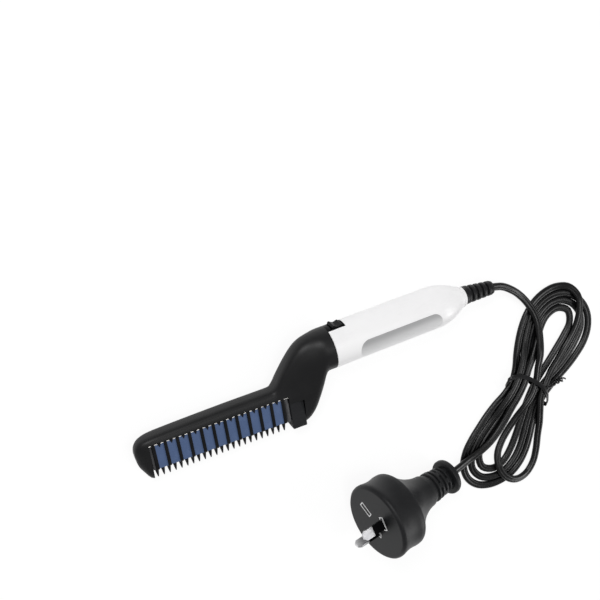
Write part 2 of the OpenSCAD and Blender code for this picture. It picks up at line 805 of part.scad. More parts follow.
module clamp_saddle() {
    difference() {
        intersection() {
            translate([clamp_x, -clamp_half_w, -grip_r])
                cube([clamp_len, 2 * clamp_half_w, grip_r]);
            turned([
                [0, clamp_x - 1], [grip_outer_r(clamp_x + clamp_len) - 0.4, clamp_x - 1],
                [grip_outer_r(clamp_x + clamp_len) - 0.4, clamp_x + clamp_len + 1],
                [0, clamp_x + clamp_len + 1]
            ]);
        }
        translate([clamp_x - 1, -cord_w / 2 - clamp_gap, -cord_t / 2 - clamp_gap])
            cube([clamp_len + 2, cord_w + 2 * clamp_gap, grip_r]);
        for (j = side) translate([clamp_x + clamp_len / 2, j * clamp_screw_y, -screw_bite])
            cylinder(r = screw_r + 0.05, h = screw_bite + 1, $fn = 32);
    }
}

module switch_pocket() {
    translate([collar_x - 1, 3, -housing_half_w - fit_gap])
        cube([rocker_x + housing_half_len + fit_gap - collar_x + 1, grip_d,
              2 * (housing_half_w + fit_gap)]);
}

module handle_shell_left() {
    color("white") placed() difference() {
        union() {
            grip_half(1);
            for (x = boss_x) grip_boss(x, 1);
        }
        switch_pocket();
        for (x = boss_x) translate([x, boss_y, -1])
            cylinder(r = screw_r + 0.05, h = screw_bite + 1.5, $fn = 32);
        intersection() {
            label_prism(label_len + 2 * fit_gap, label_w + 2 * fit_gap);
            label_skin(grip_r - label_t, grip_r + 1);
        }
    }
}

module handle_shell_right() {
    color("white") placed() difference() {
        union() {
            grip_half(-1);
            for (x = boss_x) grip_boss(x, -1);
            clamp_saddle();
        }
        switch_pocket();
        for (x = boss_x) translate([x, boss_y, 0]) {
            translate([0, 0, -grip_r - 1])
                cylinder(r = screw_r + screw_play, h = grip_r + 2, $fn = 32);
            translate([0, 0, -grip_r - 1 - boss_seat])
                cylinder(r = screw_head_r + screw_play, h = grip_r + 1, $fn = 32);
        }
    }
}

module handle_screws() {
    color("silver") placed() for (x = boss_x) translate([x, boss_y, -boss_seat]) {
        cylinder(r = screw_r, h = boss_seat + screw_bite, $fn = 32);
        translate([0, 0, -screw_head_h]) cylinder(r = screw_head_r, h = screw_head_h, $fn = 32);
    }
}

module tail_ring() {
    color("gainsboro") placed() turned([
        [ring_seat_r + ring_play, ring_x + ring_play],
        [grip_outer_r(ring_x + ring_play), ring_x + ring_play],
        [tail_r, tail_x], [ring_seat_r + ring_play, tail_x]
    ]);
}

module rating_label() {
    color("lightgray") placed() intersection() {
        label_prism(label_len, label_w);
        label_skin(grip_r - label_t + 0.02, grip_r);
    }
}

module cord_clamp() {
    color("white") placed() difference() {
        translate([clamp_x, -clamp_half_w, cord_t / 2 + clamp_gap])
            cube([clamp_len, 2 * clamp_half_w, clamp_t]);
        for (j = side) translate([clamp_x + clamp_len / 2, j * clamp_screw_y, 0])
            cylinder(r = screw_r + screw_play, h = 9, $fn = 32);
    }
}

module clamp_screws() {
    seat = cord_t / 2 + clamp_gap + clamp_t;
    color("silver") placed() for (j = side)
        translate([clamp_x + clamp_len / 2, j * clamp_screw_y, 0]) {
            translate([0, 0, 1 - screw_bite])
                cylinder(r = screw_r, h = seat + screw_bite - 1, $fn = 32);
            translate([0, 0, seat]) cylinder(r = screw_head_r, h = screw_head_h, $fn = 32);
        }
}

// ================= switch =================

module at_rocker() {
    translate([rocker_x, rocker_y, 0]) children();
}

module switch_housing() {
    color([0.08, 0.08, 0.09]) placed() intersection() {
        difference() {
            translate([collar_x + eps, rocker_y - well_depth + 2.6, -housing_half_w])
                cube([rocker_x + housing_half_len - collar_x - eps, well_depth + 2,
                      2 * housing_half_w]);
            at_rocker() translate([-well_half_len, -well_depth + 2.6 + well_floor, -well_half_w])
                cube([2 * well_half_len, well_depth + 4, 2 * well_half_w]);
            at_rocker() translate([0, 0, -20])
                cylinder(d = rocker_pin_d, h = 40, $fn = 32);
            for (x = [-terminal_x, 0]) at_rocker()
                translate([x - terminal_t / 2 - fit_gap, -well_depth, -terminal_w / 2 - fit_gap])
                cube([terminal_t + 2 * fit_gap, 5, terminal_w + 2 * fit_gap]);
        }
        turned([[0, collar_x + eps], [grip_r - 0.05, collar_x + eps],
                [grip_r - 0.05, collar_x + 30], [0, collar_x + 30]]);
    }
}

// The contact faces lie just under the bridge at the end of its swing
module switch_terminals() {
    low = bridge_y * cos(rocker_throw / 2) + bridge_t + terminal_gap;
    side_low = low + terminal_x * sin(rocker_throw / 2);
    color("gold") placed() at_rocker() for (k = [[0, low], [-terminal_x, side_low]])
        translate([k[0] - terminal_t / 2, -well_depth + 2.6 - terminal_tail, -terminal_w / 2])
            cube([terminal_t, well_depth - 2.6 + terminal_tail - k[1], terminal_w]);
}

module rocker_pin() {
    color("silver") placed() at_rocker()
        translate([0, 0, -housing_half_w + 0.1])
        cylinder(d = rocker_pin_d, h = 2 * housing_half_w - 0.2, $fn = 32);
}

// Rocker drawn level, then set to its off position
module rocker() {
    h = rocker_len / 2;
    rim = rocker_crown;
    dish = [for (i = [-6:6]) [h * i / 6, rim - rocker_dish * (1 - pow(i / 6, 2))]];
    color([0.1, 0.1, 0.11]) placed() at_rocker() rotate([0, 0, -rocker_throw / 2]) difference() {
        translate([0, 0, -rocker_w / 2]) linear_extrude(rocker_w)
            polygon(concat(dish, [[h, -rocker_skirt], [bridge_half_len, -bridge_y],
                                  [-bridge_half_len, -bridge_y], [-h, -rocker_skirt]]));
        translate([0, 0, -10]) cylinder(d = rocker_pin_d + 2 * pin_play, h = 20, $fn = 32);
    }
}

module contact_bridge() {
    color("gold") placed() at_rocker() rotate([0, 0, -rocker_throw / 2])
        translate([-bridge_half_len, -bridge_y - bridge_t, -bridge_w / 2])
        cube([2 * bridge_half_len, bridge_t, bridge_w]);
}

// ================= cord =================

module flat_section() {
    intersection() {
        square([cord_w, cord_t], center = true);
        circle(d = cord_w, $fn = 48);
    }
}

// What lies behind the collar of the strain relief turns with its bend
module bent() {
    translate([bend_x, 0, 0]) rotate([0, 0, -relief_bend]) translate([-bend_x, 0, 0]) children();
}

module cord_piece(x, len) {
    translate([x, 0, 0]) rotate([90, 0, 90]) linear_extrude(len) flat_section();
}

module inner_cord() {
    color([0.1, 0.1, 0.1]) placed() {
        cord_piece(jacket_end_x, bend_x - jacket_end_x + 0.3);
        bent() cord_piece(bend_x, bend_len);
    }
}

function relief_r(x) =
    relief_base_r + (relief_end_r - relief_base_r) * (x - relief_x) / relief_len;

module strain_relief() {
    rib_x = bend_x - 0.5;
    pitch = (relief_end_x - rib_x) / relief_ribs;
    ribs = [
        for (i = [0:relief_ribs - 1])
            let (x = rib_x + i * pitch, x1 = x + pitch * 0.62, x2 = rib_x + (i + 1) * pitch,
                 groove = i < relief_ribs - 1 ? relief_groove : 0)
            each [[relief_r(x) - 0.2, x], [relief_r(x1) - 0.2, x1],
                  [relief_r(x1) - groove, x1], [relief_r(x2) - groove, x2]]
    ];
    color([0.09, 0.09, 0.1]) placed() difference() {
        union() {
            turned([[0, flange_x - relief_flange_len],
                    [relief_flange_r, flange_x - relief_flange_len],
                    [relief_flange_r, flange_x], [relief_neck_r, flange_x],
                    [relief_neck_r, relief_x + fit_gap], [relief_base_r, relief_x + fit_gap],
                    [relief_base_r, bend_x], [0, bend_x]]);
            bent() turned(concat([[0, rib_x]], ribs, [[0, relief_end_x]]));
        }
        turned([[0, relief_x - 20], [relief_bore_r, relief_x - 20],
                [relief_bore_r, bend_x], [0, bend_x]]);
        bent() turned([[0, rib_x], [relief_bore_r + 0.2, rib_x],
                       [relief_bore_r + 0.2, relief_end_x + 1], [0, relief_end_x + 1]]);
    }
}

module cord_lead() {
    color([0.1, 0.1, 0.1]) on_table() tube(lead_route, cord_w / 2, cord_t / 2, 3);
}

module cord_tail() {
    color([0.1, 0.1, 0.1]) on_table() tube(tail_route, cord_w / 2, cord_t / 2, 2);
}

module at_tie() {
    translate([tie_c[0], tie_c[1], 0]) rotate([0, 0, tie_angle]) children();
}

module cord_hank() {
    color([0.1, 0.1, 0.1]) on_table() difference() {
        linear_extrude(hank_h) polygon(ring_curve(hank_line, hank_steps));
        at_tie() difference() {
            translate([-tie_w / 2 - 0.1, -3 * tie_core_half, -1])
                cube([tie_w + 0.2, 6 * tie_core_half, hank_h + 2]);
            translate([-tie_w, -tie_core_half, tie_depth])
                cube([2 * tie_w, 2 * tie_core_half, hank_h - 2 * tie_depth]);
        }
    }
}

module twist_tie() {
    color([0.05, 0.05, 0.05]) on_table() at_tie() {
        difference() {
            translate([-tie_w / 2, -tie_core_half - tie_t - 0.1, tie_depth - tie_t - 0.1])
                cube([tie_w, 2 * (tie_core_half + tie_t + 0.1),
                      hank_h - tie_depth + tie_t + 0.5]);
            translate([-tie_w, -tie_core_half - 0.1, tie_depth - 0.1])
                cube([2 * tie_w, 2 * (tie_core_half + 0.1), hank_h - 2 * tie_depth + 0.2]);
        }
        translate([0, -tie_core_half, hank_h + 0.1 + tie_t]) rotate([90, 0, 51])
            cylinder(r = tie_t, h = tie_tail_len, $fn = 24);
    }
}

// ================= plug =================

// The plug's own frame: its face is z = 0 and its pins point along +Z
module plug_placed() {
    on_table() translate([plug_end[0], plug_end[1], plug_end_z]) rotate([0, 0, plug_yaw])
        rotate([0, -90 + plug_tilt, 0]) rotate([0, 0, 90 + plug_turn])
        translate([0, 0, plug_len]) children();
}

module plug_body() {
    neck_end = plug_len - collar_len;
    ribs = [
        for (i = [0:3])
            let (y = neck_end - 1.4 - i * plug_rib_pitch, r = plug_neck_r + i * 0.45)
            each [[r - 1.1, -y], [r - 1.1, 1.4 - y], [r, 1.4 - y], [r, plug_rib_pitch - y]]
    ];
    color([0.11, 0.11, 0.12]) plug_placed() difference() {
        rotate_extrude($fn = 96) polygon(concat(
            [[0, -plug_len], [plug_collar_r - 1, -plug_len], [plug_collar_r, -plug_len + 1],
             [plug_collar_r, -neck_end - 1], [plug_collar_r - 1, -neck_end],
             [plug_neck_r - 1.1, -neck_end]],
            ribs,
            [for (i = [0:plug_steps])
                let (t = 1 - i / plug_steps)
                [plug_waist_r + (plug_lobe_r - plug_waist_r) * (1 + cos(180 * pow(t, 0.8))) / 2,
                 -plug_lobe_y - (plug_waist_y - plug_lobe_y) * t]],
            [[plug_lobe_r - 0.1, 3 - plug_lobe_y], [plug_r - 0.8, -8], [plug_r, -3.5],
             [plug_r - 0.3, -1.2], [plug_r - 1.4, 0], [0, 0]]));
        for (a = pin_angles) rotate([0, 0, a]) translate([pin_radius, 0, -pin_root])
            cube([pin_t + 0.04, pin_w + 0.04, 2 * pin_root + 0.04], center = true);
        rotate([0, 0, -90]) translate([earth_radius, 0, 0]) difference() {
            cube([pin_w + 1.6, pin_t + 1.6, 0.5], center = true);
            cube([pin_w, pin_t, 1], center = true);
        }
    }
}

// Pin: the length inside its sleeve is slimmer, so that the sleeve is flush
module plug_pin(a) {
    rotate([0, 0, a]) translate([pin_radius, 0, 0]) {
        translate([0, 0, -pin_root]) translate([-pin_t / 2, -pin_w / 2, -pin_root + 0.1])
            cube([pin_t, pin_w, 2 * pin_root - 0.2]);
        translate([-pin_t / 2 + sleeve_t, -pin_w / 2 + sleeve_t, -0.2])
            cube([pin_t - 2 * sleeve_t, pin_w - 2 * sleeve_t, sleeve_len + 0.4]);
        translate([0, 0, sleeve_len + 0.1]) rotate([90, 0, 90]) translate([0, 0, -pin_t / 2])
            linear_extrude(pin_t) polygon([
                [-pin_w / 2, 0], [pin_w / 2, 0], [pin_w / 2, pin_len - sleeve_len - 2.1],
                [pin_w / 2 - 1.6, pin_len - sleeve_len - 0.1],
                [-pin_w / 2 + 1.6, pin_len - sleeve_len - 0.1],
                [-pin_w / 2, pin_len - sleeve_len - 2.1]
            ]);
    }
}

module live_pin() {
    color("silver") plug_placed() plug_pin(pin_angles[0]);
}

module neutral_pin() {
    color("silver") plug_placed() plug_pin(pin_angles[1]);
}

module pin_sleeves() {
    color([0.05, 0.05, 0.05]) plug_placed() for (a = pin_angles) rotate([0, 0, a])
        translate([pin_radius, 0, sleeve_len / 2 + 0.05]) difference() {
            cube([pin_t, pin_w, sleeve_len - 0.1], center = true);
            cube([pin_t - 2 * sleeve_t + 0.02, pin_w - 2 * sleeve_t + 0.02, sleeve_len + 1],
                 center = true);
        }
}

head_shell_left();
head_shell_right();
comb_guard();
heater_plate_left();
heater_plate_right();
plate_trim_left();
plate_trim_right();
nose_spacer();
heel_spacer();
heel_block();
heater_block();
ptc_element();
electrode_strips();
insulation_film();
thermal_fuse();
live_core();
switched_lead();
neutral_core();
head_screws();
handle_shell_left();
handle_shell_right();
handle_screws();
tail_ring();
rating_label();
cord_clamp();
clamp_screws();
switch_housing();
switch_terminals();
rocker_pin();
rocker();
contact_bridge();
inner_cord();
strain_relief();
cord_lead();
cord_hank();
cord_tail();
twist_tie();
plug_body();
live_pin();
neutral_pin();
pin_sleeves();
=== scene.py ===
"""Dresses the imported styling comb: head, comb, grip, switch, cord in a tied hank, and plug."""

import logging
import math
from dataclasses import dataclass
from enum import Enum
from functools import cache
from typing import Callable, Sequence

import bmesh
import bpy
from mathutils import Matrix, Vector


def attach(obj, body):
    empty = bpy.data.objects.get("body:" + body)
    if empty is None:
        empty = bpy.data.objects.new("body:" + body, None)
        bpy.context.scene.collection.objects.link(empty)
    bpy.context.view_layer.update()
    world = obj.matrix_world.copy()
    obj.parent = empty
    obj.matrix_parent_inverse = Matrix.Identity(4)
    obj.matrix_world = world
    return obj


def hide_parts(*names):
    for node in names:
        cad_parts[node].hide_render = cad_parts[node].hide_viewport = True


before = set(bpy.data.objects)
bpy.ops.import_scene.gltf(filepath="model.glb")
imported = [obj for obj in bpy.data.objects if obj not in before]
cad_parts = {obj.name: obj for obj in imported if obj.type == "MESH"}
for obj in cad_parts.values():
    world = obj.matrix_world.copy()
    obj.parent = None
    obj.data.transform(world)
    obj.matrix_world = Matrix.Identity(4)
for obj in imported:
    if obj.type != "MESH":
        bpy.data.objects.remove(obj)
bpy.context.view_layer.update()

LOG = logging.getLogger("styling_comb")
MM = 0.001
AXIS_X, AXIS_Y, AXIS_Z = Vector((1, 0, 0)), Vector((0, 1, 0)), Vector((0, 0, 1))
FIT = 0.05  # gap between parts that meet, in millimetres
Point = Sequence[float]
Pair = tuple[float, float]
Triple = tuple[float, float, float]
Colour = Triple
Table = Sequence[Pair]


class Body(Enum):
    """Rigid bodies of the frame that a piece can ride on."""

    COMB = "comb"
    ROCKER = "rocker"


# ---------------------------------------------------------------- places


@dataclass(frozen=True)
class Places:
    """Where the parts lie and meet, in millimetres and degrees, with their own frames."""

    mid_x: float = 125.719
    mid_y: float = -14.2923
    grip_r: float = 13.8
    roll: float = 10.1413
    pivot_x: float = 10.0
    head_tilt: float = 2.0
    collar_x: float = 132.7
    seam_y: float = -16.1
    head_screws: tuple[Pair, ...] = ((120.0, -2.0), (113.5, -32.0))
    head_seat: float = 3.6
    grip_screws: tuple[Pair, ...] = ((157.7, -6.5), (201.0, -6.5))
    grip_seat: float = 6.0
    rocker_x: float = 139.7
    rocker_y: float = 11.2
    rocker_turn: float = -8.0
    plug_end: Triple = (193.1, -116.9, 11.30)
    plug_tilt: float = 15.4034
    plug_yaw: float = 0.5
    plug_turn: float = 132.0
    plug_len: float = 67.0
    tie: Pair = (267.0, -82.0)
    tie_angle: float = 56.0

    def table(self) -> Matrix:
        """Frame of what lies on the table, measured from the nose."""
        return Matrix.Scale(MM, 4) @ Matrix.Translation((-self.mid_x, -self.mid_y, 0))

    def comb(self) -> Matrix:
        """Frame of the comb, laid on its side."""
        lift = Matrix.Translation((0, 0, self.grip_r))
        return self.table() @ lift @ spin(self.roll, "X")

    def row(self) -> Matrix:
        """Frame of the row of teeth, which slopes against the grip."""
        return self.comb() @ about(self.pivot_x, -self.head_tilt)

    def rocker(self) -> Matrix:
        """Frame of the rocker about its pin."""
        seat = Matrix.Translation((self.rocker_x, self.rocker_y, 0))
        return self.comb() @ seat @ spin(self.rocker_turn, "Z")

    def plug(self) -> Matrix:
        """Frame of the plug: its face is z = 0 and its pins point along +Z.

        Returns:
            The frame in the scene.
        """
        tail = self.table() @ Matrix.Translation(self.plug_end)
        lying = tail @ spin(self.plug_yaw, "Z") @ spin(self.plug_tilt - 90, "Y")
        return lying @ spin(90 + self.plug_turn, "Z") @ Matrix.Translation((0, 0, self.plug_len))

    def knot(self) -> Matrix:
        """Frame of the twist tie, with the strands along X."""
        return self.table() @ Matrix.Translation((*self.tie, 0)) @ spin(self.tie_angle, "Z")


def spin(degrees: float, axis: str) -> Matrix:
    """Turn about the axis X, Y or Z."""
    return Matrix.Rotation(math.radians(degrees), 4, axis)


def about(x: float, degrees: float) -> Matrix:
    """Turn about the Z line through x on the X axis."""
    there, back = Matrix.Translation((x, 0, 0)), Matrix.Translation((-x, 0, 0))
    return there @ spin(degrees, "Z") @ back


PLACES = Places()


def smooth_table(table: Table, x: float) -> float:
    """Value at x on a smooth line through the table's points that never overshoots them.

    Args:
        table: Pairs of place and value, in rising order of place.
        x: The place.

    Returns:
        The value of the monotone cubic at x.
    """
    if x <= table[0][0]:
        return table[0][1]
    if x >= table[-1][0]:
        return table[-1][1]
    i = max(k for k, pair in enumerate(table) if pair[0] <= x)
    slopes = [(b[1] - a[1]) / (b[0] - a[0]) for a, b in zip(table, table[1:])]

    def tangent(k: int) -> float:
        """Slope of the line at one of the table's points.

        Args:
            k: The point's number.

        Returns:
            The harmonic mean of the slopes on both sides, or 0 where they turn.
        """
        if k in (0, len(table) - 1):
            return slopes[min(k, len(slopes) - 1)]
        before, after = slopes[k - 1], slopes[k]
        if before * after <= 0:
            return 0.0
        return 2 * before * after / (before + after)

    (x0, y0), (x1, y1) = table[i], table[i + 1]
    width = x1 - x0
    t = (x - x0) / width
    m0, m1 = tangent(i) * width, tangent(i + 1) * width
    cube, square = t**3, t**2
    return ((2 * cube - 3 * square + 1) * y0 + (cube - 2 * square + t) * m0
            + (3 * square - 2 * cube) * y1 + (cube - square) * m1)


def curve_through(points: Sequence[Vector], step: float) -> list[Vector]:
    """Evenly spaced points on a smooth open line through the given ones.

    Args:
        points: Points that the line passes.
        step: Wanted distance between the results.

    Returns:
        Points from the first to the last, about a step apart.
    """
    fine: list[Vector] = []
    last, parts = len(points) - 1, 24
    for i in range(last):
        a, b, c, d = (points[max(i - 1, 0)], points[i], points[i + 1], points[min(i + 2, last)])
        for k in range(parts):
            t = k / parts
            fine.append(0.5 * (2 * b + (c - a) * t + (2 * a - 5 * b + 4 * c - d) * t**2
                               + (3 * b - a - 3 * c + d) * t**3))
    fine.append(points[last].copy())
    lengths = [0.0]
    for a, b in zip(fine, fine[1:]):
        lengths.append(lengths[-1] + (b - a).length)
    count = max(2, round(lengths[-1] / step))
    result, k = [], 0
    for i in range(count + 1):
        want = lengths[-1] * i / count
        while k < len(fine) - 2 and lengths[k + 1] < want:
            k += 1
        span = max(lengths[k + 1] - lengths[k], 1e-9)
        result.append(fine[k].lerp(fine[k + 1], min(1.0, (want - lengths[k]) / span)))
    return result


# ---------------------------------------------------------------- modelling


class Piece:
    """One mesh that is modelled in millimetres in its own frame, then put in its place."""

    def __init__(self, obj: bpy.types.Object) -> None:
        """Takes over the object that an operator has just added."""
        self.obj = obj

    # ---- starts

    @staticmethod
    def outline(points: Sequence[Point], filled: bool = True) -> "Piece":
        """Ring of edges, or one face, through the points.

        Args:
            points: Corners in order, as three coordinates each.
            filled: Whether the ring gets a face.

        Returns:
            The new piece.
        """
        fill = "NGON" if filled else "NOTHING"
        bpy.ops.mesh.primitive_circle_add(vertices=len(points), radius=1, fill_type=fill)
        piece = Piece(bpy.context.object)
        for vertex, point in zip(piece.obj.data.vertices, points):
            vertex.co = point
        return piece

    @staticmethod
    def box(low: Point, high: Point) -> "Piece":
        """Block between two corners.

        Args:
            low: The lowest corner.
            high: The highest corner.

        Returns:
            The new piece.
        """
        middle = [(a + b) / 2 for a, b in zip(low, high)]
        bpy.ops.mesh.primitive_cube_add(size=1, location=middle)
        bpy.ops.transform.resize(value=[b - a for a, b in zip(low, high)])
        return Piece(bpy.context.object).settle()

    @staticmethod
    def rod(start: Point, end: Point, radius: float, sides: int = 32,
            end_radius: float | None = None) -> "Piece":
        """Round or tapered bar from one point to another.

        Args:
            start: Middle of the first end.
            end: Middle of the other end.
            radius: Radius of the first end.
            sides: Number of its sides.
            end_radius: Radius of the other end, where that differs.

        Returns:
            The new piece.
        """
        a, b = Vector(start), Vector(end)
        turn = (b - a).to_track_quat("Z", "Y").to_euler()
        bpy.ops.mesh.primitive_cone_add(
            vertices=sides, radius1=radius, depth=(b - a).length, location=(a + b) / 2,
            radius2=radius if end_radius is None else end_radius, rotation=turn)
        return Piece(bpy.context.object).settle()

    @staticmethod
    def prism(corners: Sequence[Point], low: float, high: float) -> "Piece":
        """Block with the given corners in X and Y, from one height to another.

        Args:
            corners: Its corners in order.
            low: Height of its underside.
            high: Height of its top.

        Returns:
            The new piece.
        """
        piece = Piece.outline([(x, y, low) for x, y in corners])
        with Editing(piece.obj):
            bpy.ops.mesh.extrude_region_move(
                TRANSFORM_OT_translate={"value": (0, 0, high - low)})
        return piece.outward()

    @staticmethod
    def turned(profile: Table, steps: int, degrees: float = 360, start: float = 0) -> "Piece":
        """Solid of revolution about X.

        Args:
            profile: Closed outline as pairs of place along X and radius.
            steps: Number of spans round the axis.
            degrees: How far the outline is turned.
            start: Angle of the first outline, from +Y towards +Z.

        Returns:
            The new piece.
        """
        whole = degrees >= 360
        turn = spin(start, "X")
        points = [turn @ Vector((x, r, 0)) for x, r in profile]
        piece = Piece.outline(points, filled=not whole)
        with Editing(piece.obj):
            bpy.ops.mesh.spin(steps=steps, angle=-math.radians(degrees), center=(0, 0, 0),
                              axis=(1, 0, 0))
            bpy.ops.mesh.select_all(action="SELECT")
            bpy.ops.mesh.remove_doubles(threshold=1e-4)
        return piece.outward()

    @staticmethod
    def skin(rings: Sequence[Sequence[Point]]) -> "Piece":
        """Closed skin through rings of equally many points, extruded ring by ring.

        Args:
            rings: Rings in order along the piece.

        Returns:
            The new piece.
        """
        piece = Piece.outline(rings[0])
        with Editing(piece.obj):
            mesh = bmesh.from_edit_mesh(piece.obj.data)
            places = {tuple(v.co): i for i, v in enumerate(mesh.verts)}
            for ring in rings[1:]:
                bpy.ops.mesh.extrude_region_move(TRANSFORM_OT_translate={"value": (0, 0, 0)})
                mesh = bmesh.from_edit_mesh(piece.obj.data)
                moved = [v for v in mesh.verts if v.select]
                order = [(places[tuple(v.co)], v) for v in moved]
                places = {}
                for i, vertex in order:
                    vertex.co = ring[i]
                    places[tuple(vertex.co)] = i
                bmesh.update_edit_mesh(piece.obj.data)
        return piece.outward()

    @staticmethod
    def sleeve(rows: Sequence[Sequence[Point]], name: str) -> "Piece":
        """Long closed tube through rows of points, made from one grid, with its UV map.

        Args:
            rows: Sections in order, each a ring of points.
            name: Name of the grid while it is shaped.

        Returns:
            The new piece, with U round the tube and V along it.
        """
        across, along = len(rows[0]), len(rows) - 1
        bpy.ops.mesh.primitive_grid_add(x_subdivisions=across, y_subdivisions=along, size=2)
        piece = Piece(bpy.context.object)
        piece.obj.name = name
        for vertex in piece.obj.data.vertices:
            u = round((vertex.co.x + 1) / 2 * across)
            v = round((vertex.co.y + 1) / 2 * along)
            vertex.co = rows[v][u % across]
        with Editing(piece.obj):
            bpy.ops.mesh.remove_doubles(threshold=1e-5)
            bpy.ops.mesh.select_all(action="DESELECT")
            bpy.ops.mesh.select_non_manifold()
            bpy.ops.mesh.edge_face_add()
        return piece.outward()

    # ---- shaping

    def settle(self) -> "Piece":
        """Puts the object's place, turn and size into its mesh.

        Returns:
            This piece.
        """
        self.pick()
        bpy.ops.object.transform_apply(location=True, rotation=True, scale=True)
        return self

    def pick(self) -> None:
        """Makes this the only selected object."""
        bpy.ops.object.select_all(action="DESELECT")
        self.obj.select_set(True)
        bpy.context.view_layer.objects.active = self.obj

    def outward(self) -> "Piece":
        """Points every face outwards.

        Returns:
            This piece.
        """
        with Editing(self.obj):
            bpy.ops.mesh.normals_make_consistent(inside=False)
        return self

    def modify(self, kind: str, **settings: object) -> "Piece":
        """Adds a modifier with the settings and applies it.

        Args:
            kind: The modifier's type.
            settings: Its settings by name.

        Returns:
            This piece.
        """
        self.pick()
        bpy.ops.object.modifier_add(type=kind)
        modifier = self.obj.modifiers[-1]
        for key, value in settings.items():
            setattr(modifier, key, value)
        bpy.ops.object.modifier_apply(modifier=modifier.name)
        return self

    def soften(self, width: float, segments: int = 2, angle: float = 30) -> "Piece":
        """Rounds the edges that are sharper than the angle."""
        return self.modify("BEVEL", width=width, segments=segments, limit_method="ANGLE",
                           angle_limit=math.radians(angle), use_clamp_overlap=True)

    def combine(self, other: "Piece", operation: str = "DIFFERENCE") -> "Piece":
        """Cuts, joins or meets this piece with another, which is used up.

        Args:
            other: The other piece.
            operation: DIFFERENCE, UNION or INTERSECT.

        Returns:
            This piece.
        """
        self.modify("BOOLEAN", operation=operation, object=other.obj, solver="EXACT")
        bpy.data.objects.remove(other.obj)
        return self

    def join(self, others: Sequence["Piece"]) -> "Piece":
        """Takes the meshes of the others into this one.

        Args:
            others: Pieces that are used up.

        Returns:
            This piece.
        """
        self.pick()
        for other in others:
            other.obj.select_set(True)
        bpy.ops.object.join()
        return self

    def cut_flat(self, place: Point, normal: Point) -> "Piece":
        """Adds edges where a plane crosses the mesh.

        Args:
            place: A point of the plane.
            normal: The way that it faces.

        Returns:
            This piece.
        """
        with Editing(self.obj):
            bpy.ops.mesh.bisect(plane_co=place, plane_no=normal)
        return self

    def reshape(self, move: Callable[[Vector], Vector]) -> "Piece":
        """Moves each vertex to where the function puts it.

        Args:
            move: Gives the new place of a point.

        Returns:
            This piece.
        """
        for vertex in self.obj.data.vertices:
            vertex.co = move(vertex.co)
        return self

    def copy(self) -> "Piece":
        """Copy with its own mesh.

        Returns:
            The copy.
        """
        self.pick()
        bpy.ops.object.duplicate()
        return Piece(bpy.context.object)

    def moved(self, offset: Point) -> "Piece":
        """Shifts the mesh itself."""
        return self.put(Matrix.Translation(offset))

    def put(self, place: Matrix) -> "Piece":
        """Applies a place to the mesh itself.

        Args:
            place: The matrix.

        Returns:
            This piece.
        """
        self.obj.data.transform(place)
        self.obj.data.update()
        return self

    # ---- end

    def done(self, name: str, finish: bpy.types.Material, slot: str, body: Body = Body.COMB,
             instead_of: Sequence[str] = (), smooth: float = 32) -> bpy.types.Object:
        """Names and dresses the piece, and has it ride on its body.

        Args:
            name: Name of the piece.
            finish: Its material.
            slot: The record's material slot; not used.
            body: The body that it rides on.
            instead_of: CAD nodes that it stands for.
            smooth: Largest angle, in degrees, that is shaded smooth.

        Returns:
            The finished object.
        """
        self.pick()
        bpy.ops.object.shade_smooth_by_angle(angle=math.radians(smooth))
        self.modify("WEIGHTED_NORMAL", keep_sharp=True)
        self.obj.name = self.obj.data.name = name
        self.obj.data.materials.clear()
        self.obj.data.materials.append(finish)
        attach(self.obj, body.value)
        if instead_of:
            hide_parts(*instead_of)
        LOG.info("%s: %d faces, rides on %s", name, len(self.obj.data.polygons), body.value)
        return self.obj


class Editing:
    """Edit mode on one object, with all of its mesh selected."""

    def __init__(self, obj: bpy.types.Object) -> None:
        """Keeps the object to edit."""
        self.obj = obj

    def __enter__(self) -> "Editing":
        """Enters edit mode.

        Returns:
            This block.
        """
        Piece(self.obj).pick()
        bpy.ops.object.mode_set(mode="EDIT")
        bpy.ops.mesh.select_mode(type="VERT")
        bpy.ops.mesh.select_all(action="SELECT")
        return self

    def __exit__(self, *failure: object) -> None:
        """Leaves edit mode."""
        bpy.ops.object.mode_set(mode="OBJECT")


# ---------------------------------------------------------------- finishes


class Signal:
    """Output socket of a shader node, on which arithmetic adds Math nodes."""

    def __init__(self, tree: bpy.types.NodeTree, socket: bpy.types.NodeSocket) -> None:
        """Wraps the socket of a node in the tree."""
        self.tree = tree
        self.socket = socket

    def math(self, operation: str, first: "Signal | float", second: "Signal | float") -> "Signal":
        """Adds one Math node.

        Args:
            operation: The node's operation.
            first: Its first value or link.
            second: Its second value or link.

        Returns:
            The node's result.
        """
        made = self.tree.nodes.new("ShaderNodeMath")
        made.operation = operation
        for place, value in zip(made.inputs, (first, second)):
            if isinstance(value, Signal):
                self.tree.links.new(value.socket, place)
            else:
                place.default_value = value
        return Signal(self.tree, made.outputs[0])

    def __add__(self, other: "Signal | float") -> "Signal":
        """Sum."""
        return self.math("ADD", self, other)

    __radd__ = __add__

    def __sub__(self, other: "Signal | float") -> "Signal":
        """Difference."""
        return self.math("SUBTRACT", self, other)

    def __rsub__(self, other: "Signal | float") -> "Signal":
        """Difference from a number, as in 1 - mask."""
        return self.math("SUBTRACT", other, self)

    def __mul__(self, other: "Signal | float") -> "Signal":
        """Product."""
        return self.math("MULTIPLY", self, other)

    __rmul__ = __mul__


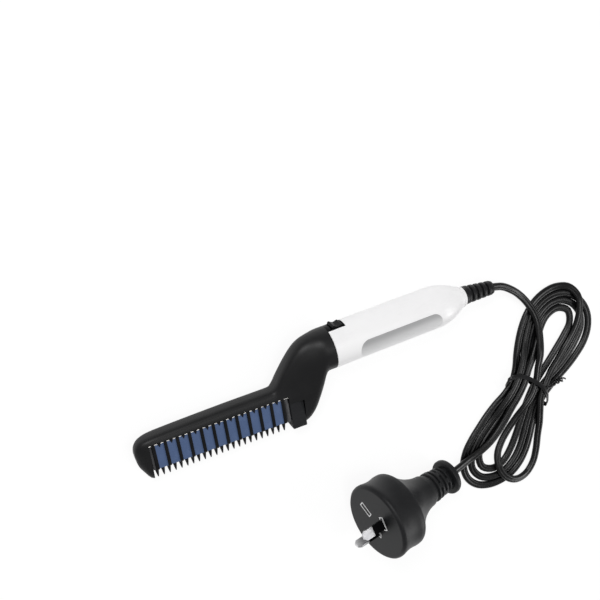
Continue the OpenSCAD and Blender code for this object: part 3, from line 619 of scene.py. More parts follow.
class Recipe:
    """One material in the making, around a Principled shader."""

    def __init__(self, name: str) -> None:
        """Starts an empty material of that name.

        Args:
            name: Name of the material.
        """
        self.material = bpy.data.materials.new(name)
        self.material.use_nodes = True
        self.tree = self.material.node_tree
        self.shader = self.tree.nodes["Principled BSDF"]
        self.surface = self.tree.nodes["Material Output"].inputs["Surface"]

    def node(self, kind: str, inputs: dict | None = None, settings: dict | None = None,
             out: int | str = 0) -> Signal:
        """Adds a node.

        Args:
            kind: The node's type, without its ShaderNode prefix.
            inputs: Values or signals by the name or number of the input.
            settings: The node's own settings.
            out: Name or number of the output to give back.

        Returns:
            That output.
        """
        made = self.tree.nodes.new("ShaderNode" + kind)
        for key, value in (settings or {}).items():
            setattr(made, key, value)
        for key, value in (inputs or {}).items():
            self.feed(made.inputs[key], value)
        return Signal(self.tree, made.outputs[out])

    def feed(self, socket: bpy.types.NodeSocket, value: object) -> None:
        """Links a signal to the socket or sets its value.

        Args:
            socket: An input of a node.
            value: A signal, number or colour.
        """
        if isinstance(value, Signal):
            self.tree.links.new(value.socket, socket)
        else:
            socket.default_value = value

    def set(self, **values: object) -> "Recipe":
        """Feeds the shader's sockets, named in lower case with underscores.

        Args:
            values: Signals, numbers or colours by the socket's name.

        Returns:
            This recipe.
        """
        for key, value in values.items():
            self.feed(self.shader.inputs[key.replace("_", " ").title().replace("Ior", "IOR")],
                      value)
        return self

    def place(self, scale: Point = (1, 1, 1), turn: float = 0.0) -> Signal:
        """Object coordinates, scaled and turned about Z.

        Args:
            scale: Factor along each axis.
            turn: Degrees about Z.

        Returns:
            The vector signal.
        """
        where = self.node("TexCoord", out="Object")
        return self.node("Mapping", {"Vector": where, "Scale": scale,
                                     "Rotation": (0, 0, math.radians(turn))})

    def noise(self, where: Signal, scale: float, detail: float = 3.0,
              roughness: float = 0.55) -> Signal:
        """Fractal noise between 0 and 1."""
        return self.node("TexNoise", {"Vector": where, "Scale": scale, "Detail": detail,
                                      "Roughness": roughness})

    def step(self, value: Signal, low: float, high: float) -> Signal:
        """Smooth step from 0 at low to 1 at high."""
        return self.node("MapRange", {"Value": value, "From Min": low, "From Max": high},
                         {"interpolation_type": "SMOOTHSTEP"})

    def blend(self, share: Signal, first: object, second: object) -> Signal:
        """Colour between two colours or signals."""
        return self.node("Mix", {0: share, 6: first, 7: second}, {"data_type": "RGBA"}, out=2)

    def bump(self, height: Signal, depth: float) -> Signal:
        """Normal of a surface with that relief, in metres."""
        return self.node("Bump", {"Height": height, "Distance": depth})


def rgba(colour: Colour) -> tuple[float, float, float, float]:
    """Opaque colour."""
    return (*colour, 1.0)


@dataclass(frozen=True)
class Moulded:
    """Moulded plastic with a fine spark-eroded grain, faint flow marks and handling.

    Here and below, the scale of a noise is its number of features to the metre.
    """

    name: str
    colour: Colour
    worn: Colour
    roughness: float
    spread: float = 0.08
    grain: float = 0.00002
    grain_scale: float = 2600.0
    specular: float = 0.5

    def build(self) -> bpy.types.Material:
        """Makes the material.

        Returns:
            The new material.
        """
        recipe = Recipe(self.name)
        where = recipe.place()
        cloud = recipe.noise(where, 55.0, 4.0)
        grain = recipe.noise(where, self.grain_scale, 2.0)
        mark_and_highlight_outlines = recipe.noise(recipe.place((1.0, 6.0, 6.0), 12.0), 160.0, 3.0, 0.7)
        worn = recipe.step(cloud * 0.6 + mark_and_highlight_outlines * 0.4, 0.46, 0.66)
        recipe.set(
            base_color=recipe.blend(worn * 0.8 + grain * 0.2, rgba(self.colour),
                                    rgba(self.worn)),
            roughness=self.roughness + (cloud - 0.5) * self.spread
            + recipe.step(mark_and_highlight_outlines, 0.62, 0.72) * (self.spread * 0.7),
            normal=recipe.bump(grain + cloud * 0.5, self.grain),
            specular_ior_level=self.specular)
        return recipe.material


@dataclass(frozen=True)
class Metal:
    """Bare or coated metal with drawn lines along one direction."""

    name: str
    colour: Colour
    dull: Colour
    roughness: float
    stretch: Triple = (0.05, 1.0, 1.0)
    metallic: float = 1.0
    line_depth: float = 0.000012

    def build(self) -> bpy.types.Material:
        """Makes the material.

        Returns:
            The new material.
        """
        recipe = Recipe(self.name)
        lines = recipe.noise(recipe.place(self.stretch), 2400.0, 4.0, 0.6)
        cloud = recipe.noise(recipe.place(), 140.0, 4.0)
        tarnish = recipe.step(cloud, 0.48, 0.7)
        recipe.set(
            base_color=recipe.blend(tarnish * 0.7 + lines * 0.3, rgba(self.colour),
                                    rgba(self.dull)),
            roughness=self.roughness + (lines - 0.5) * 0.12 + tarnish * 0.08,
            normal=recipe.bump(lines, self.line_depth), metallic=self.metallic)
        return recipe.material


@dataclass(frozen=True)
class Flex:
    """Soft cord jacket: extrusion lines along it, read from its own UV map, and dust."""

    name: str
    colour: Colour
    dusty: Colour
    roughness: float

    def build(self) -> bpy.types.Material:
        """Makes the material.

        Returns:
            The new material.
        """
        recipe = Recipe(self.name)
        uv = recipe.node("TexCoord", out="UV")
        lines = recipe.noise(recipe.node("Mapping", {"Vector": uv, "Scale": (24, 30, 1)}), 1.0)
        skin = recipe.noise(recipe.place(), 1500.0, 3.0)
        dust = recipe.step(recipe.noise(recipe.place(), 90.0, 4.0), 0.45, 0.75)
        recipe.set(
            base_color=recipe.blend(dust * 0.7 + lines * 0.3, rgba(self.colour),
                                    rgba(self.dusty)),
            roughness=self.roughness + (skin - 0.5) * 0.06 + dust * 0.08,
            normal=recipe.bump(lines + skin * 0.3, 0.000008), specular_ior_level=0.3)
        return recipe.material


@dataclass(frozen=True)
class Foil:
    """Satin label foil in one grey, with a painted reflection that lightens it towards its lower
    edge.
    """

    name: str
    painted_darker_grey: Colour
    painted_lighter_grey: Colour
    low_y: float
    high_y: float

    def build(self) -> bpy.types.Material:
        """Makes the material.

        Returns:
            The new material.
        """
        recipe = Recipe(self.name)
        where = recipe.place()
        height = recipe.node("SeparateXYZ", {"Vector": where}, out="Y")
        # painted reflection: the grey is blended by height, lighter at low_y and darker at high_y
        share = recipe.step(height, self.low_y, self.high_y)
        fibre = recipe.noise(recipe.place((0.2, 1.0, 1.0)), 1800.0, 3.0)
        cloud = recipe.noise(where, 120.0, 3.0)
        recipe.set(
            base_color=recipe.blend(share + (cloud - 0.5) * 0.1, rgba(self.painted_lighter_grey),
                                    rgba(self.painted_darker_grey)),
            roughness=0.42 + (fibre - 0.5) * 0.14, metallic=0.35 + (cloud - 0.5) * 0.1,
            normal=recipe.bump(fibre, 0.00001))
        return recipe.material


class Finish(Enum):
    """Every finish, by what it covers."""

    HEAD = Moulded("satin_black_head", (0.0055, 0.0056, 0.0062), (0.009, 0.009, 0.0098), 0.43,
                   specular=0.26)
    COMB = Moulded("heat_proof_comb_black", (0.004, 0.004, 0.0045), (0.009, 0.009, 0.01), 0.45,
                   specular=0.14)
    BLOCK = Moulded("flat_black_block", (0.012, 0.0125, 0.014), (0.017, 0.0175, 0.019), 0.6,
                    specular=0.16)
    SPACER = Moulded("ceramic_spacer_grey", (0.045, 0.045, 0.048), (0.09, 0.09, 0.095), 0.5,
                     specular=0.3)
    GRIP = Moulded("gloss_white_shell", (0.93, 0.925, 0.93), (0.89, 0.885, 0.89), 0.3, 0.06,
                   0.000008)
    SWITCH = Moulded("switch_case_black", (0.003, 0.003, 0.0034), (0.006, 0.006, 0.0065), 0.3,
                     specular=0.07)
    RELIEF = Moulded("relief_rubber", (0.008, 0.008, 0.009), (0.016, 0.016, 0.017), 0.4,
                     specular=0.26)
    PLUG = Moulded("plug_vinyl", (0.0095, 0.0098, 0.0108), (0.0155, 0.016, 0.0172), 0.44, 0.1,
                   0.00003, 1900.0, 0.22)
    TIE = Moulded("tie_vinyl", (0.004, 0.004, 0.0045), (0.009, 0.009, 0.01), 0.28, specular=0.3)
    # white of the plug face's outlines: painted highlights round the pins' bases, and a moulded
    # mark at the earth place
    MARK = Moulded("white_mark_and_pin_highlight", (0.9, 0.9, 0.9), (0.8, 0.8, 0.8), 0.5)
    PLATE = Metal("blue_anodised_plate", (0.074, 0.122, 0.25), (0.09, 0.143, 0.28), 0.45,
                  metallic=0.25)
    TRIM = Metal("bright_trim", (0.66, 0.65, 0.62), (0.52, 0.51, 0.49), 0.36)
    HEATER = Metal("cast_heater", (0.5, 0.5, 0.51), (0.38, 0.38, 0.39), 0.45, (1, 1, 1))
    CERAMIC = Moulded("barium_ceramic", (0.06, 0.06, 0.062), (0.1, 0.1, 0.1), 0.7)
    FILM = Moulded("amber_film", (0.45, 0.2, 0.03), (0.55, 0.27, 0.05), 0.22)
    FUSE = Moulded("fuse_case", (0.45, 0.4, 0.25), (0.52, 0.47, 0.32), 0.4)
    BRASS = Metal("sprung_brass", (0.72, 0.52, 0.2), (0.55, 0.38, 0.15), 0.3)
    BROWN = Moulded("brown_core", (0.13, 0.05, 0.02), (0.17, 0.07, 0.03), 0.4)
    BLUE = Moulded("blue_core", (0.02, 0.07, 0.35), (0.03, 0.1, 0.42), 0.4)
    STEEL = Metal("zinc_screw", (0.62, 0.62, 0.63), (0.42, 0.42, 0.44), 0.32, (1, 1, 1))
    PIN = Metal("nickel_pin", (0.66, 0.66, 0.67), (0.55, 0.55, 0.57), 0.3)
    CORD = Flex("cord_vinyl", (0.002, 0.002, 0.0023), (0.0048, 0.0048, 0.0052), 0.27)
    # label foil with a painted reflection: its grey goes from 0.84 at the lower edge to 0.38 at
    # the upper edge
    LABEL = Foil("label_foil", (0.38, 0.38, 0.385), (0.84, 0.84, 0.845), 0.0045, 0.0135)

    @cache
    def material(self) -> bpy.types.Material:
        """The finish's material, made when it is first asked for."""
        return self.value.build()


# ---------------------------------------------------------------- studio


@dataclass
class Studio:
    """Camera, floor and soft lamps."""

    camera_mm: Triple = (-184.93, 220.79, 589.43)
    right: Triple = (0.89988, -0.24829, 0.35856)
    down: Triple = (-0.32575, -0.9293, 0.17403)
    ahead: Triple = (0.29, -0.27341, -0.91714)
    lens_mm: float = 61.8
    sensor_mm: float = 36.0
    floor_half: float = 6.0
    floor_colour: Colour = (0.93, 0.93, 0.935)
    floor_cloud: Colour = (0.95, 0.95, 0.95)
    floor_z: float = -0.0001
    surround: float = 0.4
    glow: float = 1.05
    glow_share: float = 0.84
    lamps: tuple[tuple[str, Triple, Triple, float, float], ...] = (
        ("key_lamp", (-0.35, 0.75, 0.9), (0.02, 0, 0.01), 0.35, 6.0),
        ("fill_lamp", (0.98, -0.95, 0.5), (0.04, -0.03, 0.01), 0.45, 3.6),
        ("top_lamp", (0.1, 0.05, 1.3), (0.02, 0, 0.01), 0.5, 2.6),
        ("side_lamp", (0.9, -0.5, 0.8), (0.02, -0.03, 0.01), 0.35, 1.8),
    )

    def camera(self) -> None:
        """Sets up the camera at the viewing angle."""
        bpy.ops.object.camera_add(location=Vector(self.camera_mm) * MM)
        camera = bpy.context.object
        camera.name = "main_camera"
        columns = (Vector(self.right), -Vector(self.down), -Vector(self.ahead))
        turn = Matrix([[column[row] for column in columns] for row in range(3)])
        camera.rotation_euler = turn.to_euler()
        camera.data.lens = self.lens_mm
        camera.data.sensor_width = self.sensor_mm
        camera.data.clip_start = 0.01
        bpy.context.scene.camera = camera

    def floor(self) -> None:
        """Lays a pale floor that shows white and keeps the part's soft shadow."""
        bpy.ops.mesh.primitive_plane_add(size=2 * self.floor_half, location=(0, 0, self.floor_z))
        floor = bpy.context.object
        floor.name = "floor"
        recipe = Recipe("pale_floor")
        cloud = recipe.noise(recipe.place(), 3.0)
        recipe.set(
            base_color=recipe.blend(cloud, rgba(self.floor_colour), rgba(self.floor_cloud)),
            roughness=0.9 + (cloud - 0.5) * 0.05, specular_ior_level=0.1)
        rays = recipe.node("LightPath", out="Is Camera Ray")
        for kind in ("Glossy", "Transmission"):
            rays = rays + recipe.node("LightPath", out=f"Is {kind} Ray")
        white = recipe.node("Emission", {"Color": (1, 1, 1, 1), "Strength": self.glow})
        mixed = recipe.node("MixShader", {0: rays * self.glow_share})
        recipe.tree.links.new(recipe.shader.outputs[0], mixed.socket.node.inputs[1])
        recipe.tree.links.new(white.socket, mixed.socket.node.inputs[2])
        recipe.tree.links.new(mixed.socket, recipe.surface)
        floor.data.materials.append(recipe.material)

    def world(self) -> None:
        """Gives an even pale surround, shown as white."""
        world = bpy.data.worlds.new("surround")
        bpy.context.scene.world = world
        world.use_nodes = True
        tree = world.node_tree
        background = tree.nodes["Background"].inputs
        background["Color"].default_value = (1, 1, 1, 1)
        path = tree.nodes.new("ShaderNodeLightPath")
        seen = Signal(tree, path.outputs["Is Camera Ray"])
        strength = seen * (1 - self.surround) + self.surround
        tree.links.new(strength.socket, background["Strength"])

    def lamp(self, name: str, place: Point, aim: Point, size: float, watts: float) -> None:
        """Adds a square soft lamp.

        Args:
            name: Name of the lamp.
            place: Where it hangs, in metres.
            aim: The point that it faces.
            size: Length of its side.
            watts: Its power.
        """
        toward = (Vector(aim) - Vector(place)).to_track_quat("-Z", "Y")
        bpy.ops.object.light_add(type="AREA", location=place, rotation=toward.to_euler())
        lamp = bpy.context.object
        lamp.name = name
        lamp.data.size = size
        lamp.data.energy = watts

    def build(self) -> None:
        """Sets up all of the studio."""
        bpy.context.scene.view_settings.view_transform = "Standard"
        self.floor()
        self.world()
        for lamp in self.lamps:
            self.lamp(*lamp)
        LOG.info("studio: floor, surround and %d lamps", len(self.lamps))


# ---------------------------------------------------------------- cord


@dataclass
class Cord:
    """Flat twin cord from the strain relief, wound into a tied hank, to the plug.

    The route is the cord's middle line, measured from the nose. The cord leans a few degrees
    to one side and the other along it, apart from its ends.
    """

    width: float = 5.2
    core_r: float = 1.6
    arc: int = 11
    step: float = 2.4
    lean: float = 5.0
    lean_rate: float = 0.11
    level_rows: int = 12
    route: tuple[Triple, ...] = (
        (252.1, -1.5, 13.5), (261.1, -4.4, 11.6), (268.9, -9.9, 9.8), (275.5, -16.5, 7.2),
        (280.9, -24.4, 5.4), (284.6, -33.4, 5), (285.8, -43, 5), (284.4, -52.5, 6.2),
        (281.6, -61.7, 7.7), (278.6, -70.8, 6.3), (275.6, -80, 5.6), (270.4, -88.2, 5.7),
        (263.2, -94.7, 5.1), (256, -101, 3.1), (248.9, -107.5, 1.8), (241.8, -114.2, 1.7),
        (235.9, -121.7, 2.9), (234.1, -130.8, 5), (238, -139.6, 5), (245.8, -145, 3.5),
        (255.1, -144.7, 1.9), (262.5, -138.6, 1.6), (267, -130, 1.6), (270.1, -120.8, 1.8),
        (272.8, -111.5, 3.2), (274, -102.1, 5.2), (276.5, -92.8, 5.6), (282.2, -84.9, 5.7),
        (289, -78.2, 4.3), (296.8, -72.4, 3.3), (304.4, -66.4, 2.3), (311.4, -59.7, 2.6),
        (316.9, -51.8, 3.9), (320.2, -42.8, 5), (321, -33.1, 5), (316.4, -25.1, 2.9),
        (307.3, -22.1, 1.7), (297.7, -22.9, 1.6), (288.7, -26.6, 1.6), (281.2, -32.7, 1.6),
        (275.3, -40.4, 1.6), (270.7, -49, 1.6), (267.1, -58, 1.6), (264, -67.2, 1.8),
        (258.9, -75.5, 2.4), (251.7, -81.9, 2.1), (243.3, -86.8, 1.6), (235.1, -92.1, 1.6),
        (227.4, -98.1, 1.6), (220, -104.3, 1.6), (213.4, -111.5, 1.6), (209.4, -120.3, 1.6),
        (210.3, -129.8, 1.6), (216.3, -137.4, 1.6), (225.2, -141.1, 1.6), (234.8, -141.6, 1.6),
        (244.3, -139.4, 1.6), (252.5, -134.3, 1.6), (259, -127.1, 1.6), (264, -118.8, 1.6),
        (268.4, -110.1, 1.6), (273.5, -101.8, 1.8), (279.9, -94.5, 2.4), (287.8, -88.9, 2.3),
        (296.6, -84.7, 1.6), (305.1, -80, 1.6), (313.1, -74.5, 1.6), (320.4, -68.1, 1.6),
        (325.7, -60, 1.6), (327.8, -50.5, 1.6), (325.8, -41.1, 1.6), (320.1, -33.3, 1.6),
        (311.8, -28.3, 1.6), (302.2, -27.1, 1.6), (293, -29.8, 1.6), (285.2, -35.5, 1.6),
        (279.3, -43.3, 1.6), (274.7, -51.8, 2.2), (270.6, -60.5, 4.1), (265.8, -68.9, 5.1),
        (260.1, -76.7, 5.6), (253.2, -83.6, 5.4), (245.9, -89.9, 4), (238.4, -95.8, 2.2),
        (230.8, -101.7, 1.6), (223.3, -108, 1.6), (217.3, -115.5, 1.6), (215.5, -124.9, 1.6),
        (220.5, -133.1, 1.6), (229.4, -136.5, 1.6), (239.1, -135.6, 1.6), (247.6, -131, 1.6),
        (254.3, -124, 1.6), (259.6, -115.8, 1.6), (264.3, -107.3, 1.6), (269.4, -99, 1.9),
        (275.2, -91.3, 2.4), (282.9, -85.3, 2.4), (291.7, -81.2, 1.7), (300.2, -76.6, 1.6),
        (308, -70.8, 1.6), (315.1, -64.1, 1.6), (320.6, -56.2, 1.6), (321.7, -46.6, 1.6),
        (317.4, -38, 1.6), (309.4, -32.7, 1.6), (299.8, -32.4, 1.6), (291.2, -36.7, 1.6),
        (284.7, -43.8, 1.6), (279.8, -52.3, 1.6), (275.8, -61.1, 1.6), (271.3, -69.7, 1.7),
        (265.3, -77.4, 2.4), (258.8, -84.6, 2.4), (251.8, -91.3, 1.7), (244.3, -97.5, 1.6),
        (236.6, -103.4, 1.6), (228.9, -109.5, 1.6), (222.7, -116.8, 1.6), (223, -126.1, 1.6),
        (231.1, -130.8, 1.6), (240.3, -128.4, 1.6), (247.5, -121.9, 1.6), (253.5, -114.2, 1.6),
        (258.9, -106.1, 1.6), (264.2, -97.9, 1.8), (269.7, -89.9, 2.4), (276.1, -82.7, 2.4),
        (283.8, -76.8, 1.7), (291.4, -70.7, 1.6), (298.8, -64.4, 1.6), (306.1, -57.9, 1.6),
        (312.5, -50.6, 1.6), (312.9, -41.5, 1.6), (304.7, -37, 1.6), (295.5, -39.6, 1.6),
        (288.8, -46.5, 1.8), (283.7, -54.7, 3.1), (277.9, -62.3, 4.8), (271.9, -69.9, 5.1),
        (266.4, -78, 5.7), (260, -85.3, 5.6), (253, -92, 5.1), (246.1, -98.8, 4.8),
        (238.7, -105.2, 4.7), (230.4, -110.2, 4.9), (221.3, -113.6, 5), (211.8, -115.5, 5.8),
        (202.5, -116.5, 8.4), (193.2, -116.9, 11.3),
    )

    def section(self) -> list[Pair]:
        """Two round cores side by side, joined in a groove along both faces.

        Returns:
            The closed outline, as places across and up.
        """
        apart = self.width / 2 - self.core_r
        reach = math.pi - math.acos(apart / self.core_r)
        half = []
        for i in range(self.arc):
            angle = reach * (2 * i / (self.arc - 1) - 1)
            half.append((apart + self.core_r * math.cos(angle), self.core_r * math.sin(angle)))
        return half + [(-x, -y) for x, y in half[1:-1]]

    def build(self, pieces: Sequence[bpy.types.Object]) -> None:
        """Args:
            pieces: The tie, the plug and its pins; not used.
        """
        line = curve_through([Vector(p) for p in self.route], self.step)
        last = len(line) - 1
        rows = []
        for i, centre in enumerate(line):
            along = (line[min(i + 1, last)] - line[max(i - 1, 0)]).normalized()
            share = min(1, i / self.level_rows, (last - i) / self.level_rows)
            lean = math.radians(self.lean) * math.sin(i * self.lean_rate) * share
            side = Matrix.Rotation(lean, 3, along) @ AXIS_Z.cross(along).normalized()
            up = along.cross(side)
            rows.append([centre + side * x + up * y for x, y in self.section()])
        piece = Piece.sleeve(rows, "flat_cord").put(PLACES.table())
        cord = piece.done("flat_cord", Finish.CORD.material(), "cord_black",
                          instead_of=("cord_lead", "cord_hank", "cord_tail"), smooth=60)
        path = [PLACES.table() @ point for point in line]
        length = sum((b - a).length for a, b in zip(path, path[1:]))
        LOG.info("flat_cord: %.3f m long", length)


@dataclass
class TwistTie:
    """Paper-covered wire tie round the hank, with its ends twisted together."""

    width: float = 2.9
    thickness: float = 0.8
    ridge: float = 0.35
    step: float = 0.9
    lowest: float = 0.06
    loop: tuple[Triple, ...] = (
        (-3.4, 14.4, 3.4), (-1.2, 16.4, 5.8), (2.2, 16.9, 7.9), (4.9, 14.6, 8.6),
        (6.5, 10.2, 8.7), (6.8, 4.3, 8.6), (6.1, -2.0, 8.6), (4.5, -8.2, 8.7),
        (1.6, -13.9, 8.2), (-1.8, -18.2, 6.6), (-5.4, -21.0, 4.5), (-8.0, -21.7, 2.6),
        (-6.5, -18.8, 1.1), (-1.2, -13.1, 0.6), (3.2, -7.1, 0.5), (4.8, -2.1, 0.5),
        (4.5, 3.0, 0.5), (2.2, 7.9, 0.7), (-1.4, 11.7, 1.5),
    )
    tail_from: Triple = (3.6, -14.9, 7.6)
    tail_to: Triple = (12.6, -28.8, 4.2)
    tail_turns: float = 2.2
    tail_rows: int = 44
    apart: float = 0.75
    splay: float = 0.9
    splay_share: float = 0.15

    def section(self) -> list[Pair]:
        """Flat strip with the wire's low ridge in the middle, as width and height.

        Returns:
            The closed outline.
        """
        half, thick = self.width / 2, self.thickness / 2
        right = [(half, thick * 0.5), (half * 0.6, thick), (half * 0.25, thick + self.ridge * 0.4)]
        left = [(-x, y) for x, y in reversed(right)]
        under = [(-half, -thick * 0.5), (-half * 0.6, -thick), (half * 0.6, -thick),
                 (half, -thick * 0.5)]
        return right + [(0, thick + self.ridge)] + left + under

    def strap(self) -> Piece:
        """Closed loop of the strip round the strands.

        Returns:
            The strap in the tie's own frame.
        """
        loop = [Vector(p) for p in self.loop]
        line = curve_through(loop[-2:] + loop + loop[:3], self.step)
        half = len(line) // 2
        start = min(range(half), key=lambda i: (line[i] - loop[0]).length)
        end = min(range(half, len(line)), key=lambda i: (line[i] - loop[0]).length)
        line = line[start:end]
        rows = []
        for i, centre in enumerate(line):
            along = (line[(i + 1) % len(line)] - line[i - 1]).normalized()
            flat = (AXIS_X - along * AXIS_X.dot(along)).normalized()
            out = along.cross(flat)
            rows.append([centre + flat * x + out * y for x, y in self.section()])
        rows.append(rows[0])
        piece = Piece.sleeve(rows, "tie_strap")
        with Editing(piece.obj):
            bpy.ops.mesh.remove_doubles(threshold=0.02)
        return piece.outward()

    def tail(self) -> Piece:
        """The two ends, twisted round each other.

        Returns:
            Both ends in the tie's own frame.
        """
        a, b = Vector(self.tail_from), Vector(self.tail_to)
        along = (b - a).normalized()
        side = AXIS_Z.cross(along).normalized()
        strands = []
        for strand in (0.0, math.pi):
            rows = []
            for i in range(self.tail_rows + 1):
                t = i / self.tail_rows
                turn = strand + math.tau * self.tail_turns * t
                late = max(0.0, t - 1 + self.splay_share) / self.splay_share
                spread = self.apart + self.splay * late
                arm = (side * math.cos(turn) + along.cross(side) * math.sin(turn)) * spread
                centre = a.lerp(b, t) + arm
                flat = arm.normalized()
                edge = along.cross(flat)
                rows.append([centre + edge * x * 0.5 + flat * y for x, y in self.section()])
            strands.append(Piece.sleeve(rows, "tie_end"))
        return strands[0].join(strands[1:])

    def build(self) -> bpy.types.Object:
        """Makes the tie.

        Returns:
            The finished tie.
        """
        piece = self.strap().join([self.tail()])
        piece.reshape(lambda p: Vector((p.x, p.y, max(p.z, self.lowest)))).put(PLACES.knot())
        return piece.done("twist_strap", Finish.TIE.material(), "cord_black",
                          instead_of=("twist_tie",), smooth=50)


# ---------------------------------------------------------------- head


@dataclass
class Head:
    """Two head shells, from the nose over the spine and the offset neck to the collar."""

    wall: float = 1.4
    hollow: Pair = (3.0, 134.5)
    sides: int = 72
    window_x: float = 8.5
    block_x: float = 99.1
    block_len: float = 9.4
    block_top: float = -21.0
    cut_depth: float = 60.0
    cut_half: float = 25.0
    near_nose: tuple[float, ...] = (-0.6, -0.45, -0.2, 0.2, 0.8, 1.6, 2.6, 3.8, 5.2, 6.8, 8.8,
                                    11.5, 15, 20)
    along: tuple[tuple[float, float, int], ...] = ((27, 7, 9), (86, 1.6, 29))
    spigot: Table = ((129.9, 13.0), (129.9, 10.3), (138.2, 10.3), (138.2, 11.85), (132.6, 11.85),
                     (132.6, 13.0))
    switch_slot: tuple[Triple, Triple] = ((132.7, 2, -5.5), (142, 20, 5.5))
    seam_gap: float = 0.015
    around_low: Triple = (-5, -70, -40)
    around_high: Pair = (160, 40)
    boss_reach: Pair = (11.2, 6.9)
    boss_r: float = 2.9
    boss_depth: float = 0.5
    seat_r: float = 2.25
    pilot_r: float = 1.25
    pilot_start: float = -3.9
    pilot_end: float = 1.6
    top: Table = ((-0.6, -20), (0, -17.6), (1.5, -15.4), (4, -13.7), (8, -12.7), (14, -12.2),
                  (30, -12.1), (60, -12.3), (90, -12.9), (93, -10.4), (96, -6.4), (100, -1.5),
                  (104, 3), (108, 7), (112, 10.1), (117, 12.3), (123, 13.4), (129, 13.8),
                  (133, 13.8))
    bottom: Table = ((-0.6, -25), (0, -30), (2.5, -35.6), (4.5, -39.4), (6.2, -41.2), (8, -41.6),
                     (40, -43), (97, -44.4), (106, -43.6), (110, -42.2), (113, -39.8),
                     (116, -36), (119, -30.6), (122.4, -23.4), (124.4, -18), (125.4, -15.8),
                     (126.6, -14.4), (128, -13.8), (133, -13.8))
    half_width: Table = ((-0.6, 2.6), (0, 3.6), (2, 5.4), (5, 6.8), (10, 7.6), (16, 7.8),
                         (88, 7.8), (96, 8.2), (104, 9.2), (112, 10.6), (120, 12.2), (128, 13.5),
                         (133, 13.8))
    taper: Table = ((-1, 0.42), (8, 0.4), (95, 0.35), (108, 0.25), (118, 0.1), (128, 0), (133, 0))
    squareness: Table = ((-1, 2.6), (10, 3.5), (88, 3.5), (110, 2.8), (130, 2), (133, 2))

    def ring(self, x: float, inset: float) -> list[Triple]:
        """Section of the head or neck.

        Args:
            x: Place along the comb.
            inset: How far the section lies under the surface.

        Returns:
            Its points.
        """
        rise = smooth_table(self.top, x + 1) - smooth_table(self.top, x - 1)
        slant = math.hypot(1, rise / 2)
        high = smooth_table(self.top, x) - inset * slant
        low = smooth_table(self.bottom, x) + inset * slant
        half = smooth_table(self.half_width, x) - inset
        power = 2 / smooth_table(self.squareness, x)
        taper = smooth_table(self.taper, x)
        points = []
        for i in range(self.sides):
            angle = math.tau * i / self.sides
            up = math.copysign(abs(math.sin(angle)) ** power, math.sin(angle))
            out = math.copysign(abs(math.cos(angle)) ** power, math.cos(angle))
            width = half * (1 - taper * (1 - up) / 2)
            points.append((x, (high + low) / 2 + (high - low) / 2 * up, width * out))
        return points

    def places(self, first: float) -> list[float]:
        """Places of the sections, closer together where the shape turns.

        Args:
            first: The least place that is wanted.

        Returns:
            The places in rising order.
        """
        later = [start + step * i for start, step, count in self.along for i in range(count)]
        return [x for x in [*self.near_nose, *later] if x >= first]

    def body(self, first: float, last: float, inset: float) -> Piece:
        """Closed body under the surface.

        Args:
            first: Place that it starts at or after.
            last: Place that it ends at.
            inset: How far it lies under the surface.

        Returns:
            The body, in the comb's frame.
        """
        return Piece.skin([self.ring(x, inset) for x in self.places(first) + [last]])

    def window(self) -> Piece:
        """Cutter of the opening for the comb and the heel block.

        Returns:
            The cutter, in the comb's frame.
        """
        end, top = self.block_x + self.block_len + FIT, self.block_top + FIT
        seam = PLACES.seam_y
        low = seam - self.cut_depth
        corners = [(self.window_x, low), (end, low), (end, top), (self.block_x, top),
                   (self.block_x, seam), (self.window_x, seam)]
        tilt = about(PLACES.pivot_x, -PLACES.head_tilt)
        return Piece.prism(corners, -self.cut_half, self.cut_half).put(tilt)

    def shell(self, side: int) -> Piece:
        """Makes one half.

        Args:
            side: 1 for the left and -1 for the right.

        Returns:
            The shell, in the comb's frame.
        """
        end = PLACES.collar_x
        whole = self.body(-1, end - FIT, 0)
        limit = self.body(self.hollow[0], end - self.boss_depth, self.boss_depth)
        whole.combine(self.body(*self.hollow, self.wall))
        whole.combine(Piece.turned(self.spigot, self.sides), "UNION")
        screws = list(zip(PLACES.head_screws, self.boss_reach))
        for (x, y), reach in screws:
            boss = Piece.rod((x, y, 0), (x, y, side * reach), self.boss_r)
            whole.combine(boss.combine(limit.copy(), "INTERSECT"), "UNION")
        bpy.data.objects.remove(limit.obj)
        near, far = sorted((side * self.seam_gap, side * self.around_low[2]))
        whole.combine(Piece.box((*self.around_low[:2], near), (*self.around_high, far)))
        whole.combine(self.window())
        whole.combine(Piece.box(*self.switch_slot))
        for (x, y), reach in screws:
            if side < 0:
                seat = Piece.rod((x, y, -30), (x, y, -PLACES.head_seat), self.seat_r)
                whole.combine(seat)
            whole.combine(Piece.rod((x, y, self.pilot_start), (x, y, reach - self.pilot_end),
                                    self.pilot_r, 28))
        return whole.soften(0.22, angle=38)

    def build(self) -> None:
        """Makes both shells."""
        for side, name in ((1, "left"), (-1, "right")):
            piece = self.shell(side).put(PLACES.comb())
            piece.done(f"head_half_{name}", Finish.HEAD.material(), "head_black",
                       instead_of=(f"head_shell_{name}",))


